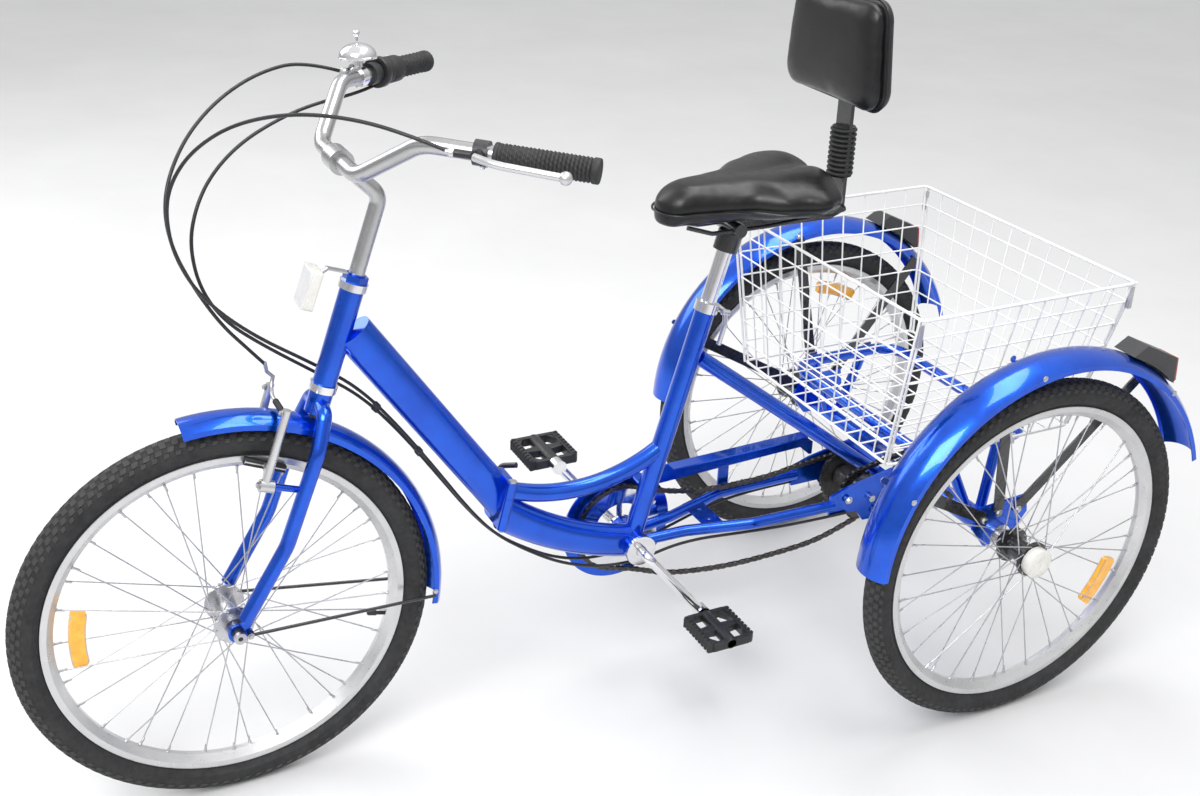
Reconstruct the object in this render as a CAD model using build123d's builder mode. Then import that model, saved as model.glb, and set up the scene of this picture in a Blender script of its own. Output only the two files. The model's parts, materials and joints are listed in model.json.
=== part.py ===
from build123d import *
from math import atan2, cos, degrees, pi, radians, sin, sqrt
import os

os.makedirs("parts", exist_ok=True)

# Adult folding tricycle, millimetres. The front faces -Y, +X is the rider's left, +Z is up.
# Side outlines give (back, z): the distance behind the rear axle, then the height.

# Wheels
wheel_radius = 301
wheel_base = 1187
track = 656
tyre_half_width = 22
rim_radius = 259.5
rim_depth = 19
rim_half_width = 13.5
spoke_radius = 1
spoke_count = 36
spoke_sweep = 58
front_hub_half = 40
front_flange_x = 31
hub_flange_radius = 29
hub_flange_thick = 3
rear_hub_inner = 40
rear_hub_outer = 28
rear_flange_x = 24
running_gap = 0.05
touch_gap = 0.1
chain_gap = 0.5
soft_gap = 0.3

# Axles
front_axle_radius = 4.5
drive_axle_radius = 7.5
drive_axle_half = 348
hub_cap_radius = 24
hub_cap_reach = 14

# Steering
head_angle = 71
head_foot = (-1028, 641)
head_length = 141
head_radius = 17
head_bore = 15
steerer_radius = 12.7
cup_radius = 20
cup_height = 11
locknut_height = 14
blade_spread = 53
blade_radius = 11
dropout_inner = 50
dropout_thick = 6
brake_reach = 58
brake_pivot_drop = 146
brake_pivot_x = 43
brake_arm_length = 116
pad_drop = 124
pad_gap = 1.5

# Handlebar
bar_radius = 11.1
stem_radius = 11.1
clamp_point = (-993, 957)
grip_radius = 16
grip_wall_gap = 0.1

# Frame
down_tube_height = 57
down_tube_width = 42
tube_wall = 2
hinge_foot = (-776, 363)
hinge_top = (-758, 441)
hinge_barrel_x = 34
hinge_barrel_radius = 8
hinge_pin_radius = 4
hinge_plate_thick = 6
hinge_plate_gap = 0.3
bb_point = (-533, 267)
bb_half = 34
bb_radius = 24
bb_bore = 20
seat_tube_top = (-420, 655)
seat_tube_radius = 16
seat_post_radius = 12.7
slim_tube_radius = 14.3
back_tube_radius = 12.7
stay_radius = 9.5
plate_x = 62
plate_thick = 5
jack_point = (-102, 284)
jack_radius = 6

# Drive
crank_length = 160
crank_angle = -50.7
chain_x = -42
chain_width = 7
chain_height = 8
chainring_radius = 76.9
cog_radius = 32.6
guide_point = (-100, 232)
tension_point = (-52, 188)
pulley_radius = 14
axle_cog_radius = 36.6
axle_chain_x = 30
guard_x = -55
guard_radius = 98
guard_inner = 62

# Axle carrier and rack
end_plate_x = 262
end_plate_thick = 5
housing_radius = 19
rack_radius = 10
rack_x = 190
rack_back = 110

# Fenders
fender_centre = (14, 321)
rear_fender_radius = 329
rear_fender_half_width = 35
rear_fender_from = 18.4
rear_fender_to = 177
front_fender_radius = 323
front_fender_half_width = 27
front_fender_from = -9
front_fender_to = 98
fender_sheet = 1.6
strut_width = 20
strut_thick = 3

# Basket
basket_top_z = 712
basket_foot_z = 440
basket_wall = 2
basket_top_half = 268
basket_foot_half = 215
basket_top_ends = (-213, 206)
basket_foot_ends = (-200, 170)

# Saddle and backrest
saddle_foot_z = 806
saddle_top_z = 884
saddle_half_width = 130
saddle_nose = -506
saddle_tail = -246
pad_width = 250
pad_height = 165
pad_thick = 46
pad_foot_z = 972
pad_back = -196
bellows_foot_z = 850
bellows_top_z = 928
bellows_radius = 21

fender_end = radians(rear_fender_from)
rear_reach = fender_centre[0] + rear_fender_radius * cos(fender_end)
front_reach = wheel_base + wheel_radius
rear_axle_y = (front_reach - rear_reach) / 2
rear_centre = (0, wheel_radius)
front_centre = (-wheel_base, wheel_radius)
head_dir = (cos(radians(head_angle)), sin(radians(head_angle)))


def place(x, back, z):
    return Vector(x, rear_axle_y + back, z)


def side(x):
    return Plane(origin=(x, rear_axle_y, 0), x_dir=(0, 1, 0), z_dir=(1, 0, 0))


def steered(x, rear, along):
    """A point from the head tube's foot: rear of the steering axis, and along it upwards."""
    back = head_foot[0] + along * head_dir[0] + rear * head_dir[1]
    z = head_foot[1] + along * head_dir[1] - rear * head_dir[0]
    return place(x, back, z)


def steering_plane(along):
    axis = Vector(0, head_dir[0], head_dir[1])
    return Plane(origin=steered(0, 0, along), x_dir=(1, 0, 0), z_dir=axis)


def radial_plane(x, centre, angle):
    """A plane through the wheel axis: local x runs along the axis, local y outwards."""
    turn = radians(angle)
    origin = place(x, centre[0], centre[1])
    return Plane(origin=origin, x_dir=(1, 0, 0), z_dir=(0, -sin(turn), cos(turn)))


def wheel_axis(centre):
    return Axis(place(0, centre[0], centre[1]), (1, 0, 0))


def on_circle(centre, radius, angle):
    turn = radians(angle)
    return (centre[0] + radius * cos(turn), centre[1] + radius * sin(turn))


def rod(start, end, radius, mode=Mode.ADD):
    """A straight round bar between two points."""
    run = Vector(end) - Vector(start)
    with BuildSketch(Plane(origin=start, z_dir=run)) as section:
        Circle(radius)
    extrude(section.sketch, amount=run.length, mode=mode)


def disc(x_low, x_high, centre, radius, mode=Mode.ADD):
    """A round piece across the trike."""
    with BuildSketch(side(x_low)) as section:
        with Locations(centre):
            Circle(radius)
    extrude(section.sketch, amount=x_high - x_low, mode=mode)


def sheet(x_low, x_high, outline, mode=Mode.ADD):
    """A flat piece across the trike, cut to a side outline."""
    with BuildSketch(side(x_low)) as section:
        with BuildLine():
            Polyline(*outline, close=True)
        make_face()
    extrude(section.sketch, amount=x_high - x_low, mode=mode)


def bent_rod(points, bends, radius, mode=Mode.ADD):
    """A round bar along straight runs joined by tangent arcs."""
    with BuildLine() as path:
        FilletPolyline(*points, radius=bends)
    with BuildSketch(Plane(origin=path.line @ 0, z_dir=path.line % 0)) as section:
        Circle(radius)
    sweep(section.sketch, path=path.line, mode=mode)


def flat_bar(start, end, width, thick):
    """A flat bar between two points, its width in the side plane."""
    run = Vector(end) - Vector(start)
    across = run.cross(Vector(1, 0, 0)).normalized()
    with BuildSketch(Plane(origin=start, x_dir=across, z_dir=run)) as section:
        Rectangle(width, thick)
    extrude(section.sketch, amount=run.length)


def ring(centre, x, profile):
    """A ring about a wheel's axis from a closed profile of (x, radius) points."""
    with BuildSketch(radial_plane(x, centre, 90)) as section:
        with BuildLine():
            Polyline(*profile, close=True)
        make_face()
    revolve(section.sketch, axis=wheel_axis(centre))


def write(part, name):
    part.label = name
    export_step(part, f"parts/{name}.step")


def make_tyre(name, x, centre):
    core = wheel_radius - tyre_half_width
    with BuildPart() as tyre:
        with BuildSketch(radial_plane(x, centre, 90)):
            with Locations((0, core)):
                Circle(tyre_half_width)
            with Locations((0, rim_radius / 2)):
                Rectangle(4 * tyre_half_width, rim_radius, mode=Mode.SUBTRACT)
        revolve(axis=wheel_axis(centre))
    write(tyre.part, name)


def make_rim(name, x, centre):
    foot = rim_radius - rim_depth
    half = rim_half_width
    profile = [(-half, rim_radius), (half, rim_radius), (half, foot + 10), (4, foot), (-4, foot), (-half, foot + 10)]
    with BuildPart() as rim:
        ring(centre, x, profile)
    write(rim.part, name)


def lace_spokes(x, centre, flange_x, hole_radius):
    """Half of each flange's spokes lean forwards from its outer face, half backwards from its inner."""
    per_set = spoke_count // 4
    rim_foot = rim_radius - rim_depth - 0.4
    lean = spoke_radius - 0.4
    for side_sign in (-1, 1):
        for face_sign in (-1, 1):
            for index in range(per_set):
                step = 360 / per_set
                turn = index * step + side_sign * step / 8 + (step / 2 if face_sign > 0 else 0)
                rim_turn = turn + face_sign * spoke_sweep
                hub_x = x + side_sign * (flange_x + face_sign * (hub_flange_thick / 2 + lean))
                rim_x = x + side_sign * 3
                hub_at = on_circle(centre, hole_radius, turn)
                rim_at = on_circle(centre, rim_foot, rim_turn)
                rod(place(hub_x, *hub_at), place(rim_x, *rim_at), spoke_radius)


def spoke_reflector(x, centre, angle):
    """An arc reflector clipped between the spokes near the rim."""
    inner = rim_radius - rim_depth - 42
    with BuildSketch(radial_plane(x, centre, angle)) as section:
        with Locations((0, inner + 11)):
            Rectangle(10, 22)
    revolve(section.sketch, axis=wheel_axis(centre), revolution_arc=22)


def make_hub(name, x, centre, low, high, flange_x, bore, barrel, angle):
    """Hub shell with two flanges, its spokes, and the reflector that they carry."""
    with BuildPart() as hub:
        disc(x + low, x + high, centre, barrel)
        for flange in (-flange_x, flange_x):
            disc(x + flange - hub_flange_thick / 2, x + flange + hub_flange_thick / 2, centre, hub_flange_radius)
        disc(x + low - 1, x + high + 1, centre, bore, mode=Mode.SUBTRACT)
        lace_spokes(x, centre, flange_x, hub_flange_radius - 4)
        spoke_reflector(x, centre, angle)
    write(hub.part, name)


# Three wheels
for wheel, wheel_x, wheel_centre in (
    ("front", 0, front_centre),
    ("left", track / 2, rear_centre),
    ("right", -track / 2, rear_centre),
):
    make_tyre(f"{wheel}_tyre", wheel_x, wheel_centre)
    make_rim(f"{wheel}_rim", wheel_x, wheel_centre)

make_hub("front_hub", 0, front_centre, -front_hub_half, front_hub_half, front_flange_x,
         front_axle_radius + running_gap, 15, 165)
make_hub("left_hub", track / 2, rear_centre, -rear_hub_inner, rear_hub_outer, rear_flange_x,
         drive_axle_radius + running_gap, 17, -40)
make_hub("right_hub", -track / 2, rear_centre, -rear_hub_outer, rear_hub_inner, rear_flange_x,
         drive_axle_radius + running_gap, 17, 60)

# Front axle with its cones and capped nuts, held in the fork
with BuildPart() as front_axle:
    disc(-dropout_inner - dropout_thick - 12, dropout_inner + dropout_thick + 12, front_centre, front_axle_radius)
    for sign in (-1, 1):
        inner = sign * (front_hub_half + touch_gap)
        outer = sign * (dropout_inner - touch_gap)
        disc(min(inner, outer), max(inner, outer), front_centre, 8)
        inner = sign * (dropout_inner + dropout_thick + touch_gap)
        outer = sign * (dropout_inner + dropout_thick + 14)
        disc(min(inner, outer), max(inner, outer), front_centre, 9)
write(front_axle.part, "front_axle")

# Drive axle through both rear hubs, with its sprocket and the two hub caps
cap_start = track / 2 + rear_hub_outer + touch_gap
with BuildPart() as drive_axle:
    disc(-drive_axle_half, drive_axle_half, rear_centre, drive_axle_radius)
    disc(axle_chain_x - 1.5, axle_chain_x + 1.5, rear_centre, axle_cog_radius - chain_height / 2 - chain_gap)
    disc(axle_chain_x + 1.5, axle_chain_x + 12, rear_centre, 14)
    disc(cap_start, cap_start + hub_cap_reach, rear_centre, hub_cap_radius)
    disc(-cap_start - hub_cap_reach, -cap_start, rear_centre, hub_cap_radius)
    disc(drive_axle_half - 1, cap_start + 1, rear_centre, drive_axle_radius)
    disc(-cap_start - 1, -drive_axle_half + 1, rear_centre, drive_axle_radius)
write(drive_axle.part, "drive_axle")

# Hinge geometry: the two plates meet across the frame, on a barrel at the left
hinge_centre = ((hinge_foot[0] + hinge_top[0]) / 2, (hinge_foot[1] + hinge_top[1]) / 2)
hinge_rise = (hinge_top[0] - hinge_foot[0], hinge_top[1] - hinge_foot[1])
hinge_length = sqrt(hinge_rise[0] ** 2 + hinge_rise[1] ** 2)
hinge_up = (hinge_rise[0] / hinge_length, hinge_rise[1] / hinge_length)
hinge_back = (hinge_up[1], -hinge_up[0])


def hinged(x, back, up):
    """A point from the hinge's centre: back along its normal, and up its face."""
    return place(
        x,
        hinge_centre[0] + back * hinge_back[0] + up * hinge_up[0],
        hinge_centre[1] + back * hinge_back[1] + up * hinge_up[1],
    )


def hinge_face(back):
    return Plane(origin=hinged(0, back, 0), x_dir=(1, 0, 0), z_dir=(0, hinge_back[0], hinge_back[1]))


def hinge_plate(back):
    with BuildSketch(hinge_face(back)) as section:
        RectangleRounded(2 * hinge_barrel_x - 16, hinge_length, 10)
    extrude(section.sketch, amount=hinge_plate_thick)


def hinge_knuckle(low, high, lug_back):
    """A length of the barrel round the pin, and its lug to the plate."""
    rod(hinged(hinge_barrel_x, 0, low), hinged(hinge_barrel_x, 0, high), hinge_barrel_radius)
    middle = (low + high) / 2
    with BuildSketch(hinge_face(lug_back)) as section:
        with Locations((hinge_barrel_x - 7, -middle)):
            Rectangle(12, high - low)
    extrude(section.sketch, amount=hinge_plate_thick)


knuckle = hinge_length / 3
half_gap = hinge_plate_gap / 2

# Front frame: head tube and down tube, ending in the front hinge plate
down_top = (-985, 713)
with BuildPart() as front_frame:
    rod(steered(0, 0, 0), steered(0, 0, head_length), head_radius)
    run = Vector(place(0, *hinge_centre)) - Vector(place(0, *down_top))
    with BuildSketch(Plane(origin=place(0, *down_top), x_dir=(1, 0, 0), z_dir=run)):
        Ellipse(down_tube_width / 2, down_tube_height / 2)
    extrude(amount=run.length + 60)
    split(bisect_by=hinge_face(-half_gap - hinge_plate_thick), keep=Keep.BOTTOM)
    hinge_plate(-half_gap - hinge_plate_thick)
    hinge_knuckle(-hinge_length / 2, -hinge_length / 2 + knuckle - half_gap, -half_gap - hinge_plate_thick)
    hinge_knuckle(hinge_length / 2 - knuckle + half_gap, hinge_length / 2, -half_gap - hinge_plate_thick)
    rod(hinged(hinge_barrel_x, 0, -hinge_length), hinged(hinge_barrel_x, 0, hinge_length),
        hinge_pin_radius + running_gap, mode=Mode.SUBTRACT)
    rod(steered(0, 0, -30), steered(0, 0, head_length + 30), head_bore, mode=Mode.SUBTRACT)
    with BuildSketch(Plane(origin=place(0, *down_top) + run.normalized() * 24, x_dir=(1, 0, 0), z_dir=run)):
        Ellipse(down_tube_width / 2 - tube_wall, down_tube_height / 2 - tube_wall)
    extrude(amount=run.length - 60, mode=Mode.SUBTRACT)
write(front_frame.part, "front_frame")

# Main frame behind the hinge: big lower tube, slim upper tube, seat tube and bottom bracket shell
seat_rise = (seat_tube_top[0] - bb_point[0], seat_tube_top[1] - bb_point[1])
seat_length = sqrt(seat_rise[0] ** 2 + seat_rise[1] ** 2)
seat_dir = (seat_rise[0] / seat_length, seat_rise[1] / seat_length)
lower_start = (-790, 398)
lower_middle = (-661, 310)
upper_start = (-775, 421)
upper_middle = (-655, 386)
upper_end = (-478, 436)


def on_seat_tube(x, along, rear=0.0):
    """A point up the seat tube from the bottom bracket, and rear of its axis."""
    back = bb_point[0] + along * seat_dir[0] + rear * seat_dir[1]
    z = bb_point[1] + along * seat_dir[1] - rear * seat_dir[0]
    return place(x, back, z)


def lower_tube(width, height, mode):
    with BuildLine() as path:
        ThreePointArc(place(0, *lower_start), place(0, *lower_middle), place(0, *bb_point))
    with BuildSketch(Plane(origin=path.line @ 0, x_dir=(1, 0, 0), z_dir=path.line % 0)) as section:
        Ellipse(width / 2, height / 2)
    sweep(section.sketch, path=path.line, mode=mode)


with BuildPart() as main_frame:
    lower_tube(down_tube_width, down_tube_height, Mode.ADD)
    with BuildLine() as upper_path:
        ThreePointArc(place(0, *upper_start), place(0, *upper_middle), place(0, *upper_end))
    with BuildSketch(Plane(origin=upper_path.line @ 0, z_dir=upper_path.line % 0)):
        Circle(slim_tube_radius)
    sweep()
    split(bisect_by=hinge_face(half_gap + hinge_plate_thick), keep=Keep.TOP)
    hinge_plate(half_gap)
    hinge_knuckle(-knuckle / 2 + half_gap, knuckle / 2 - half_gap, half_gap)
    rod(on_seat_tube(0, 0), on_seat_tube(0, seat_length), seat_tube_radius)
    disc(-bb_half, bb_half, bb_point, bb_radius)
    rod(hinged(hinge_barrel_x, 0, -hinge_length), hinged(hinge_barrel_x, 0, hinge_length),
        hinge_pin_radius + running_gap, mode=Mode.SUBTRACT)
    rod(on_seat_tube(0, 40), on_seat_tube(0, seat_length + 10), seat_post_radius + running_gap, mode=Mode.SUBTRACT)
    disc(-bb_half - 1, bb_half + 1, bb_point, bb_bore, mode=Mode.SUBTRACT)
write(main_frame.part, "main_frame")

# Rear frame: slanted tube, two chainstays, their bridge and the two rear plates
plate_outline = [(-184, 262), (-184, 300), (-150, 312), (-60, 330), (22, 330), (26, 290), (-30, 262), (-70, 238), (-112, 240), (-128, 262)]
with BuildPart() as rear_frame:
    for sign in (-1, 1):
        inner = plate_x - plate_thick if sign > 0 else -plate_x
        sheet(inner, inner + plate_thick, plate_outline)
        start = place(sign * 18, bb_point[0] + 12, bb_point[1] + 6)
        waist = place(sign * 25, -446, 277)
        bend = place(sign * 56, -335, 282)
        end = place(sign * (plate_x - plate_thick / 2), -176, 282)
        bent_rod([start, waist, bend, end], [70, 70], stay_radius)
    sheet(-plate_x + plate_thick / 2, plate_x - plate_thick / 2, [(-55, 272), (-55, 302), (-41, 302), (-41, 272)])
    rod(on_seat_tube(0, 328, seat_tube_radius + touch_gap), place(0, -48, 291), back_tube_radius)
    sheet(-44, 44, [(-412, 280), (-412, 284), (-378, 284), (-378, 280)])
    disc(-bb_half - 1, bb_half + 1, bb_point, bb_radius + touch_gap, mode=Mode.SUBTRACT)
    disc(-plate_x - 1, plate_x + 1, jack_point, jack_radius + running_gap, mode=Mode.SUBTRACT)
    disc(-plate_x - 1, plate_x + 1, rear_centre, housing_radius + touch_gap, mode=Mode.SUBTRACT)
    rod(on_seat_tube(0, 240), on_seat_tube(0, seat_length), seat_tube_radius + touch_gap, mode=Mode.SUBTRACT)
    for hole_x in (-16, 16):
        with BuildSketch(Plane.XY.offset(270)):
            with Locations((hole_x, rear_axle_y - 395)):
                Circle(4.2)
        extrude(amount=20, mode=Mode.SUBTRACT)
write(rear_frame.part, "rear_frame")

# Bearing cups of the bottom bracket and of the axle
with BuildPart() as bearing_cups:
    for sign in (-1, 1):
        inner = sign * (bb_half + touch_gap)
        outer = sign * (bb_half + 5)
        disc(min(inner, outer), max(inner, outer), bb_point, bb_radius + 2)
    for sign in (-1, 1):
        inner = sign * (end_plate_x + end_plate_thick + touch_gap)
        outer = sign * (end_plate_x + end_plate_thick + 9)
        disc(min(inner, outer), max(inner, outer), rear_centre, 20)
    disc(-plate_x, plate_x, bb_point, 9, mode=Mode.SUBTRACT)
    disc(-track, track, rear_centre, drive_axle_radius + running_gap, mode=Mode.SUBTRACT)
write(bearing_cups.part, "bearing_cups")

# Axle carrier: two housing tubes, end plates, and a rack of bent tube on four legs
rack_z = basket_foot_z - soft_gap - rack_radius
end_outline = [(-52, 318), (-40, 356), (52, 362), (58, 330), (24, 282), (-24, 282)]
with BuildPart() as axle_housing:
    for sign in (-1, 1):
        inner = end_plate_x if sign > 0 else -end_plate_x - end_plate_thick
        sheet(inner, inner + end_plate_thick, end_outline)
        reach = end_plate_x + end_plate_thick
        near = plate_x - plate_thick
        low, high = (near, reach) if sign > 0 else (-reach, -near)
        disc(low, high, rear_centre, housing_radius)
        for foot_back, head_back in ((-12, -64), (16, 44)):
            rod(place(sign * 205, foot_back, 312), place(sign * rack_x, head_back, rack_z), rack_radius - 1)
        bent_rod(
            [
                place(sign * 10, -rack_back, rack_z),
                place(sign * rack_x, -rack_back, rack_z),
                place(sign * rack_x, rack_back, rack_z),
                place(sign * 10, rack_back, rack_z),
            ],
            45,
            rack_radius,
        )
    rod(place(-12, -rack_back, rack_z), place(12, -rack_back, rack_z), rack_radius)
    rod(place(-12, rack_back, rack_z), place(12, rack_back, rack_z), rack_radius)
    disc(-track, track, rear_centre, drive_axle_radius + 2, mode=Mode.SUBTRACT)
write(axle_housing.part, "axle_housing")


def bend_fender(x, centre, radius, half_width, start, end):
    """A crowned sheet with two straight skirts, turned about the wheel."""
    drop = half_width * 0.42
    skirt = 8
    crown = radius - fender_sheet
    inner_half = half_width - fender_sheet
    with BuildSketch(radial_plane(x, centre, start)) as section:
        with BuildLine():
            ThreePointArc((-half_width, radius - drop), (0, radius), (half_width, radius - drop))
            Line((half_width, radius - drop), (half_width, radius - drop - skirt))
            Line((half_width, radius - drop - skirt), (inner_half, radius - drop - skirt))
            Line((inner_half, radius - drop - skirt), (inner_half, crown - drop))
            ThreePointArc((inner_half, crown - drop), (0, crown), (-inner_half, crown - drop))
            Line((-inner_half, crown - drop), (-inner_half, radius - drop - skirt))
            Line((-inner_half, radius - drop - skirt), (-half_width, radius - drop - skirt))
            Line((-half_width, radius - drop - skirt), (-half_width, radius - drop))
        make_face()
    revolve(section.sketch, axis=wheel_axis(centre), revolution_arc=end - start)


with BuildPart() as rear_fenders:
    for sign in (-1, 1):
        bend_fender(sign * track / 2, fender_centre, rear_fender_radius, rear_fender_half_width,
                    rear_fender_from, rear_fender_to)
write(rear_fenders.part, "rear_fenders")

# Flat struts from the end plates to the inner skirts of the rear fenders
strut_low_x = end_plate_x + end_plate_thick + strut_thick / 2 + 0.2
strut_high_x = track / 2 - rear_fender_half_width - strut_thick / 2 - 0.3
with BuildPart() as fender_struts:
    for sign in (-1, 1):
        for foot, angle in (((-34, 338), 152), ((-6, 346), 102), ((34, 344), 48)):
            tip = on_circle(fender_centre, rear_fender_radius - 17, angle)
            flat_bar(place(sign * strut_low_x, *foot), place(sign * strut_high_x, *tip), strut_width, strut_thick)
write(fender_struts.part, "fender_struts")

# Tail reflectors: a wedge housing on each rear fender with a red lens at its back
with BuildPart() as tail_reflectors:
    seat = rear_fender_radius + 0.6
    outline = [on_circle(fender_centre, seat, angle) for angle in (68, 64, 60, 56, 52, 48)]
    outline += [on_circle(fender_centre, seat + 32, 53), on_circle(fender_centre, seat + 24, 65)]
    for sign in (-1, 1):
        sheet(sign * track / 2 - 22, sign * track / 2 + 22, outline)
        low = Vector(*on_circle(fender_centre, seat + 3, 48))
        high = Vector(*on_circle(fender_centre, seat + 30, 52.6))
        away = Vector(0.9, 0.35) * 0.3
        lens = [low + away, high + away, high + away * 14, low + away * 14]
        sheet(sign * track / 2 - 20, sign * track / 2 + 20, [(corner.X, corner.Y) for corner in lens])
write(tail_reflectors.part, "tail_reflectors")


def basket_section(z, inset):
    """The basket's plan at a height, its walls carried on straight beyond foot and top."""
    share = (z - basket_foot_z) / (basket_top_z - basket_foot_z)
    half = basket_foot_half + share * (basket_top_half - basket_foot_half) - inset
    low = basket_foot_ends[0] + share * (basket_top_ends[0] - basket_foot_ends[0]) + inset
    high = basket_foot_ends[1] + share * (basket_top_ends[1] - basket_foot_ends[1]) - inset
    with BuildSketch(Plane.XY.offset(z)) as section:
        with Locations((0, rear_axle_y + (low + high) / 2)):
            Rectangle(2 * half, high - low)
    return section.sketch


with BuildPart() as basket:
    loft([basket_section(basket_foot_z, 0), basket_section(basket_top_z, 0)])
    inner_foot = basket_section(basket_foot_z + basket_wall, basket_wall)
    loft([inner_foot, basket_section(basket_top_z + 4, basket_wall)], mode=Mode.SUBTRACT)
write(basket.part, "basket")

# Chain guard: a ring round the chainring and a long channel over the upper run
with BuildPart() as chain_guard:
    disc(guard_x, guard_x + 3, bb_point, guard_radius)
    disc(guard_x - 1, guard_x + 4, bb_point, guard_inner, mode=Mode.SUBTRACT)
    sheet(guard_x, guard_x + 3, [(-470, 328), (-470, 352), (-440, 362), (-175, 369), (-175, 340)])
    sheet(guard_x, guard_x + 22, [(-440, 359), (-440, 362), (-175, 369), (-175, 366)])
    sheet(guard_x, guard_x + 3, [(-176, 366), (-176, 340), (-156, 322), (-150, 322), (-150, 346)])
    sheet(guard_x, guard_x + 3, [(-340, 291.6), (-340, 345), (-320, 345), (-320, 291.6)])
    rod(on_seat_tube(-seat_tube_radius - touch_gap, 90), on_seat_tube(guard_x + 2, 90), 4)
write(chain_guard.part, "chain_guard")


def wrap(centre, radius, start, end, steps):
    """Points along a pitch circle, where a chain wraps it."""
    return [on_circle(centre, radius, start + (end - start) * step / steps) for step in range(steps + 1)]


primary_line = wrap(bb_point, chainring_radius, 75, 250, 12)
primary_line += [(-505, 179), (-432, 153), (-323, 138), (-212, 138), (-126, 146)]
primary_line += wrap(tension_point, pulley_radius + chain_height / 2, -72, 81, 8)
primary_line += wrap(guide_point, pulley_radius + chain_height / 2, 261, 106, 8)
primary_line += wrap(jack_point, cog_radius, -74, 95, 10)
primary_line += [(-179, 311), (-228, 304), (-282, 301), (-362, 303), (-440, 316)]
with BuildPart() as primary_chain:
    with BuildLine() as primary_path:
        Spline(*[place(chain_x, *point) for point in primary_line], periodic=True)
    with BuildSketch(Plane(origin=primary_path.line @ 0, x_dir=(1, 0, 0), z_dir=primary_path.line % 0)):
        Rectangle(chain_width, chain_height)
    sweep()
write(primary_chain.part, "primary_chain")

with BuildPart() as axle_chain:
    lean = degrees(atan2(rear_centre[1] - jack_point[1], rear_centre[0] - jack_point[0]))
    span = sqrt((rear_centre[0] - jack_point[0]) ** 2 + (rear_centre[1] - jack_point[1]) ** 2)
    middle = ((rear_centre[0] + jack_point[0]) / 2, (rear_centre[1] + jack_point[1]) / 2)
    outer = axle_cog_radius + chain_height / 2
    inner = axle_cog_radius - chain_height / 2
    with BuildSketch(side(axle_chain_x - chain_width / 2)):
        with Locations(middle):
            SlotCenterToCenter(span, 2 * outer, rotation=lean)
            SlotCenterToCenter(span, 2 * inner, rotation=lean, mode=Mode.SUBTRACT)
    extrude(amount=chain_width)
write(axle_chain.part, "axle_chain")

# Jackshaft between the rear plates, turning the axle's chain
with BuildPart() as jackshaft:
    disc(-plate_x - 8, plate_x + 8, jack_point, jack_radius)
    disc(axle_chain_x - 1.5, axle_chain_x + 1.5, jack_point, axle_cog_radius - chain_height / 2 - chain_gap)
    disc(axle_chain_x - 10, axle_chain_x, jack_point, 15)
write(jackshaft.part, "jackshaft")

# Seven-speed freewheel on the jackshaft
cog_pitch = 4.6
with BuildPart() as freewheel:
    disc(chain_x - 11, chain_x + 22, jack_point, 20)
    for gear in range(7):
        gear_x = chain_x + (gear - 2) * cog_pitch
        gear_radius = cog_radius - chain_height / 2 - chain_gap + (gear - 2) * 4
        disc(gear_x - 0.9, gear_x + 0.9, jack_point, gear_radius)
    disc(-plate_x, 0, jack_point, jack_radius + running_gap, mode=Mode.SUBTRACT)
write(freewheel.part, "freewheel")

# Rear derailleur: body on the right plate, cage with its two pulleys
pulley_hole = 3
cage_turn = degrees(atan2(tension_point[1] - guide_point[1], tension_point[0] - guide_point[0]))
with BuildPart() as derailleur:
    sheet(-56.8, -51, [(-120, 262), (-112, 226), (-92, 226), (-84, 262)])
    disc(-51, chain_x - 7.6, guide_point, 8)
    disc(-58, chain_x + 9, guide_point, pulley_hole)
write(derailleur.part, "derailleur")

with BuildPart() as derailleur_cage:
    cage_span = sqrt((tension_point[0] - guide_point[0]) ** 2 + (tension_point[1] - guide_point[1]) ** 2)
    cage_middle = ((tension_point[0] + guide_point[0]) / 2, (tension_point[1] + guide_point[1]) / 2)
    for cage_x in (chain_x - 7, chain_x + 5):
        with BuildSketch(side(cage_x)):
            with Locations(cage_middle):
                SlotCenterToCenter(cage_span, 20, rotation=cage_turn)
        extrude(amount=2)
    disc(chain_x - 1.5, chain_x + 1.5, guide_point, pulley_radius - chain_gap)
    disc(chain_x - 1.5, chain_x + 1.5, tension_point, pulley_radius - chain_gap)
    for hub_centre in (guide_point, tension_point):
        disc(chain_x - 5.5, chain_x + 5.5, hub_centre, 6)
    disc(-60, 0, guide_point, pulley_hole + running_gap, mode=Mode.SUBTRACT)
write(derailleur_cage.part, "derailleur_cage")

# Band brake drum cover on the left rear plate
with BuildPart() as rear_brake:
    disc(plate_x - plate_thick - 14, plate_x - plate_thick - touch_gap, jack_point, 34)
    disc(0, plate_x, jack_point, jack_radius + running_gap, mode=Mode.SUBTRACT)
write(rear_brake.part, "rear_brake")

# Crank: one forged bar through the bottom bracket, with a pedal spindle at each end
arm_x = bb_half + 28
with BuildPart() as crank:
    disc(-bb_half - 14, bb_half + 14, bb_point, 8.5)
    for sign in (-1, 1):
        turn = crank_angle if sign > 0 else crank_angle + 180
        tip = on_circle(bb_point, crank_length, turn)
        bent_rod(
            [place(sign * (bb_half + 8), *bb_point), place(sign * arm_x, *bb_point), place(sign * (arm_x + 8), *tip)],
            12,
            8,
        )
        rod(place(sign * arm_x, *tip), place(sign * (arm_x + 18), *tip), 12)
        rod(place(sign * (arm_x + 18), *tip), place(sign * (arm_x + 108), *tip), 4.5)
write(crank.part, "crank")

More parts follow.
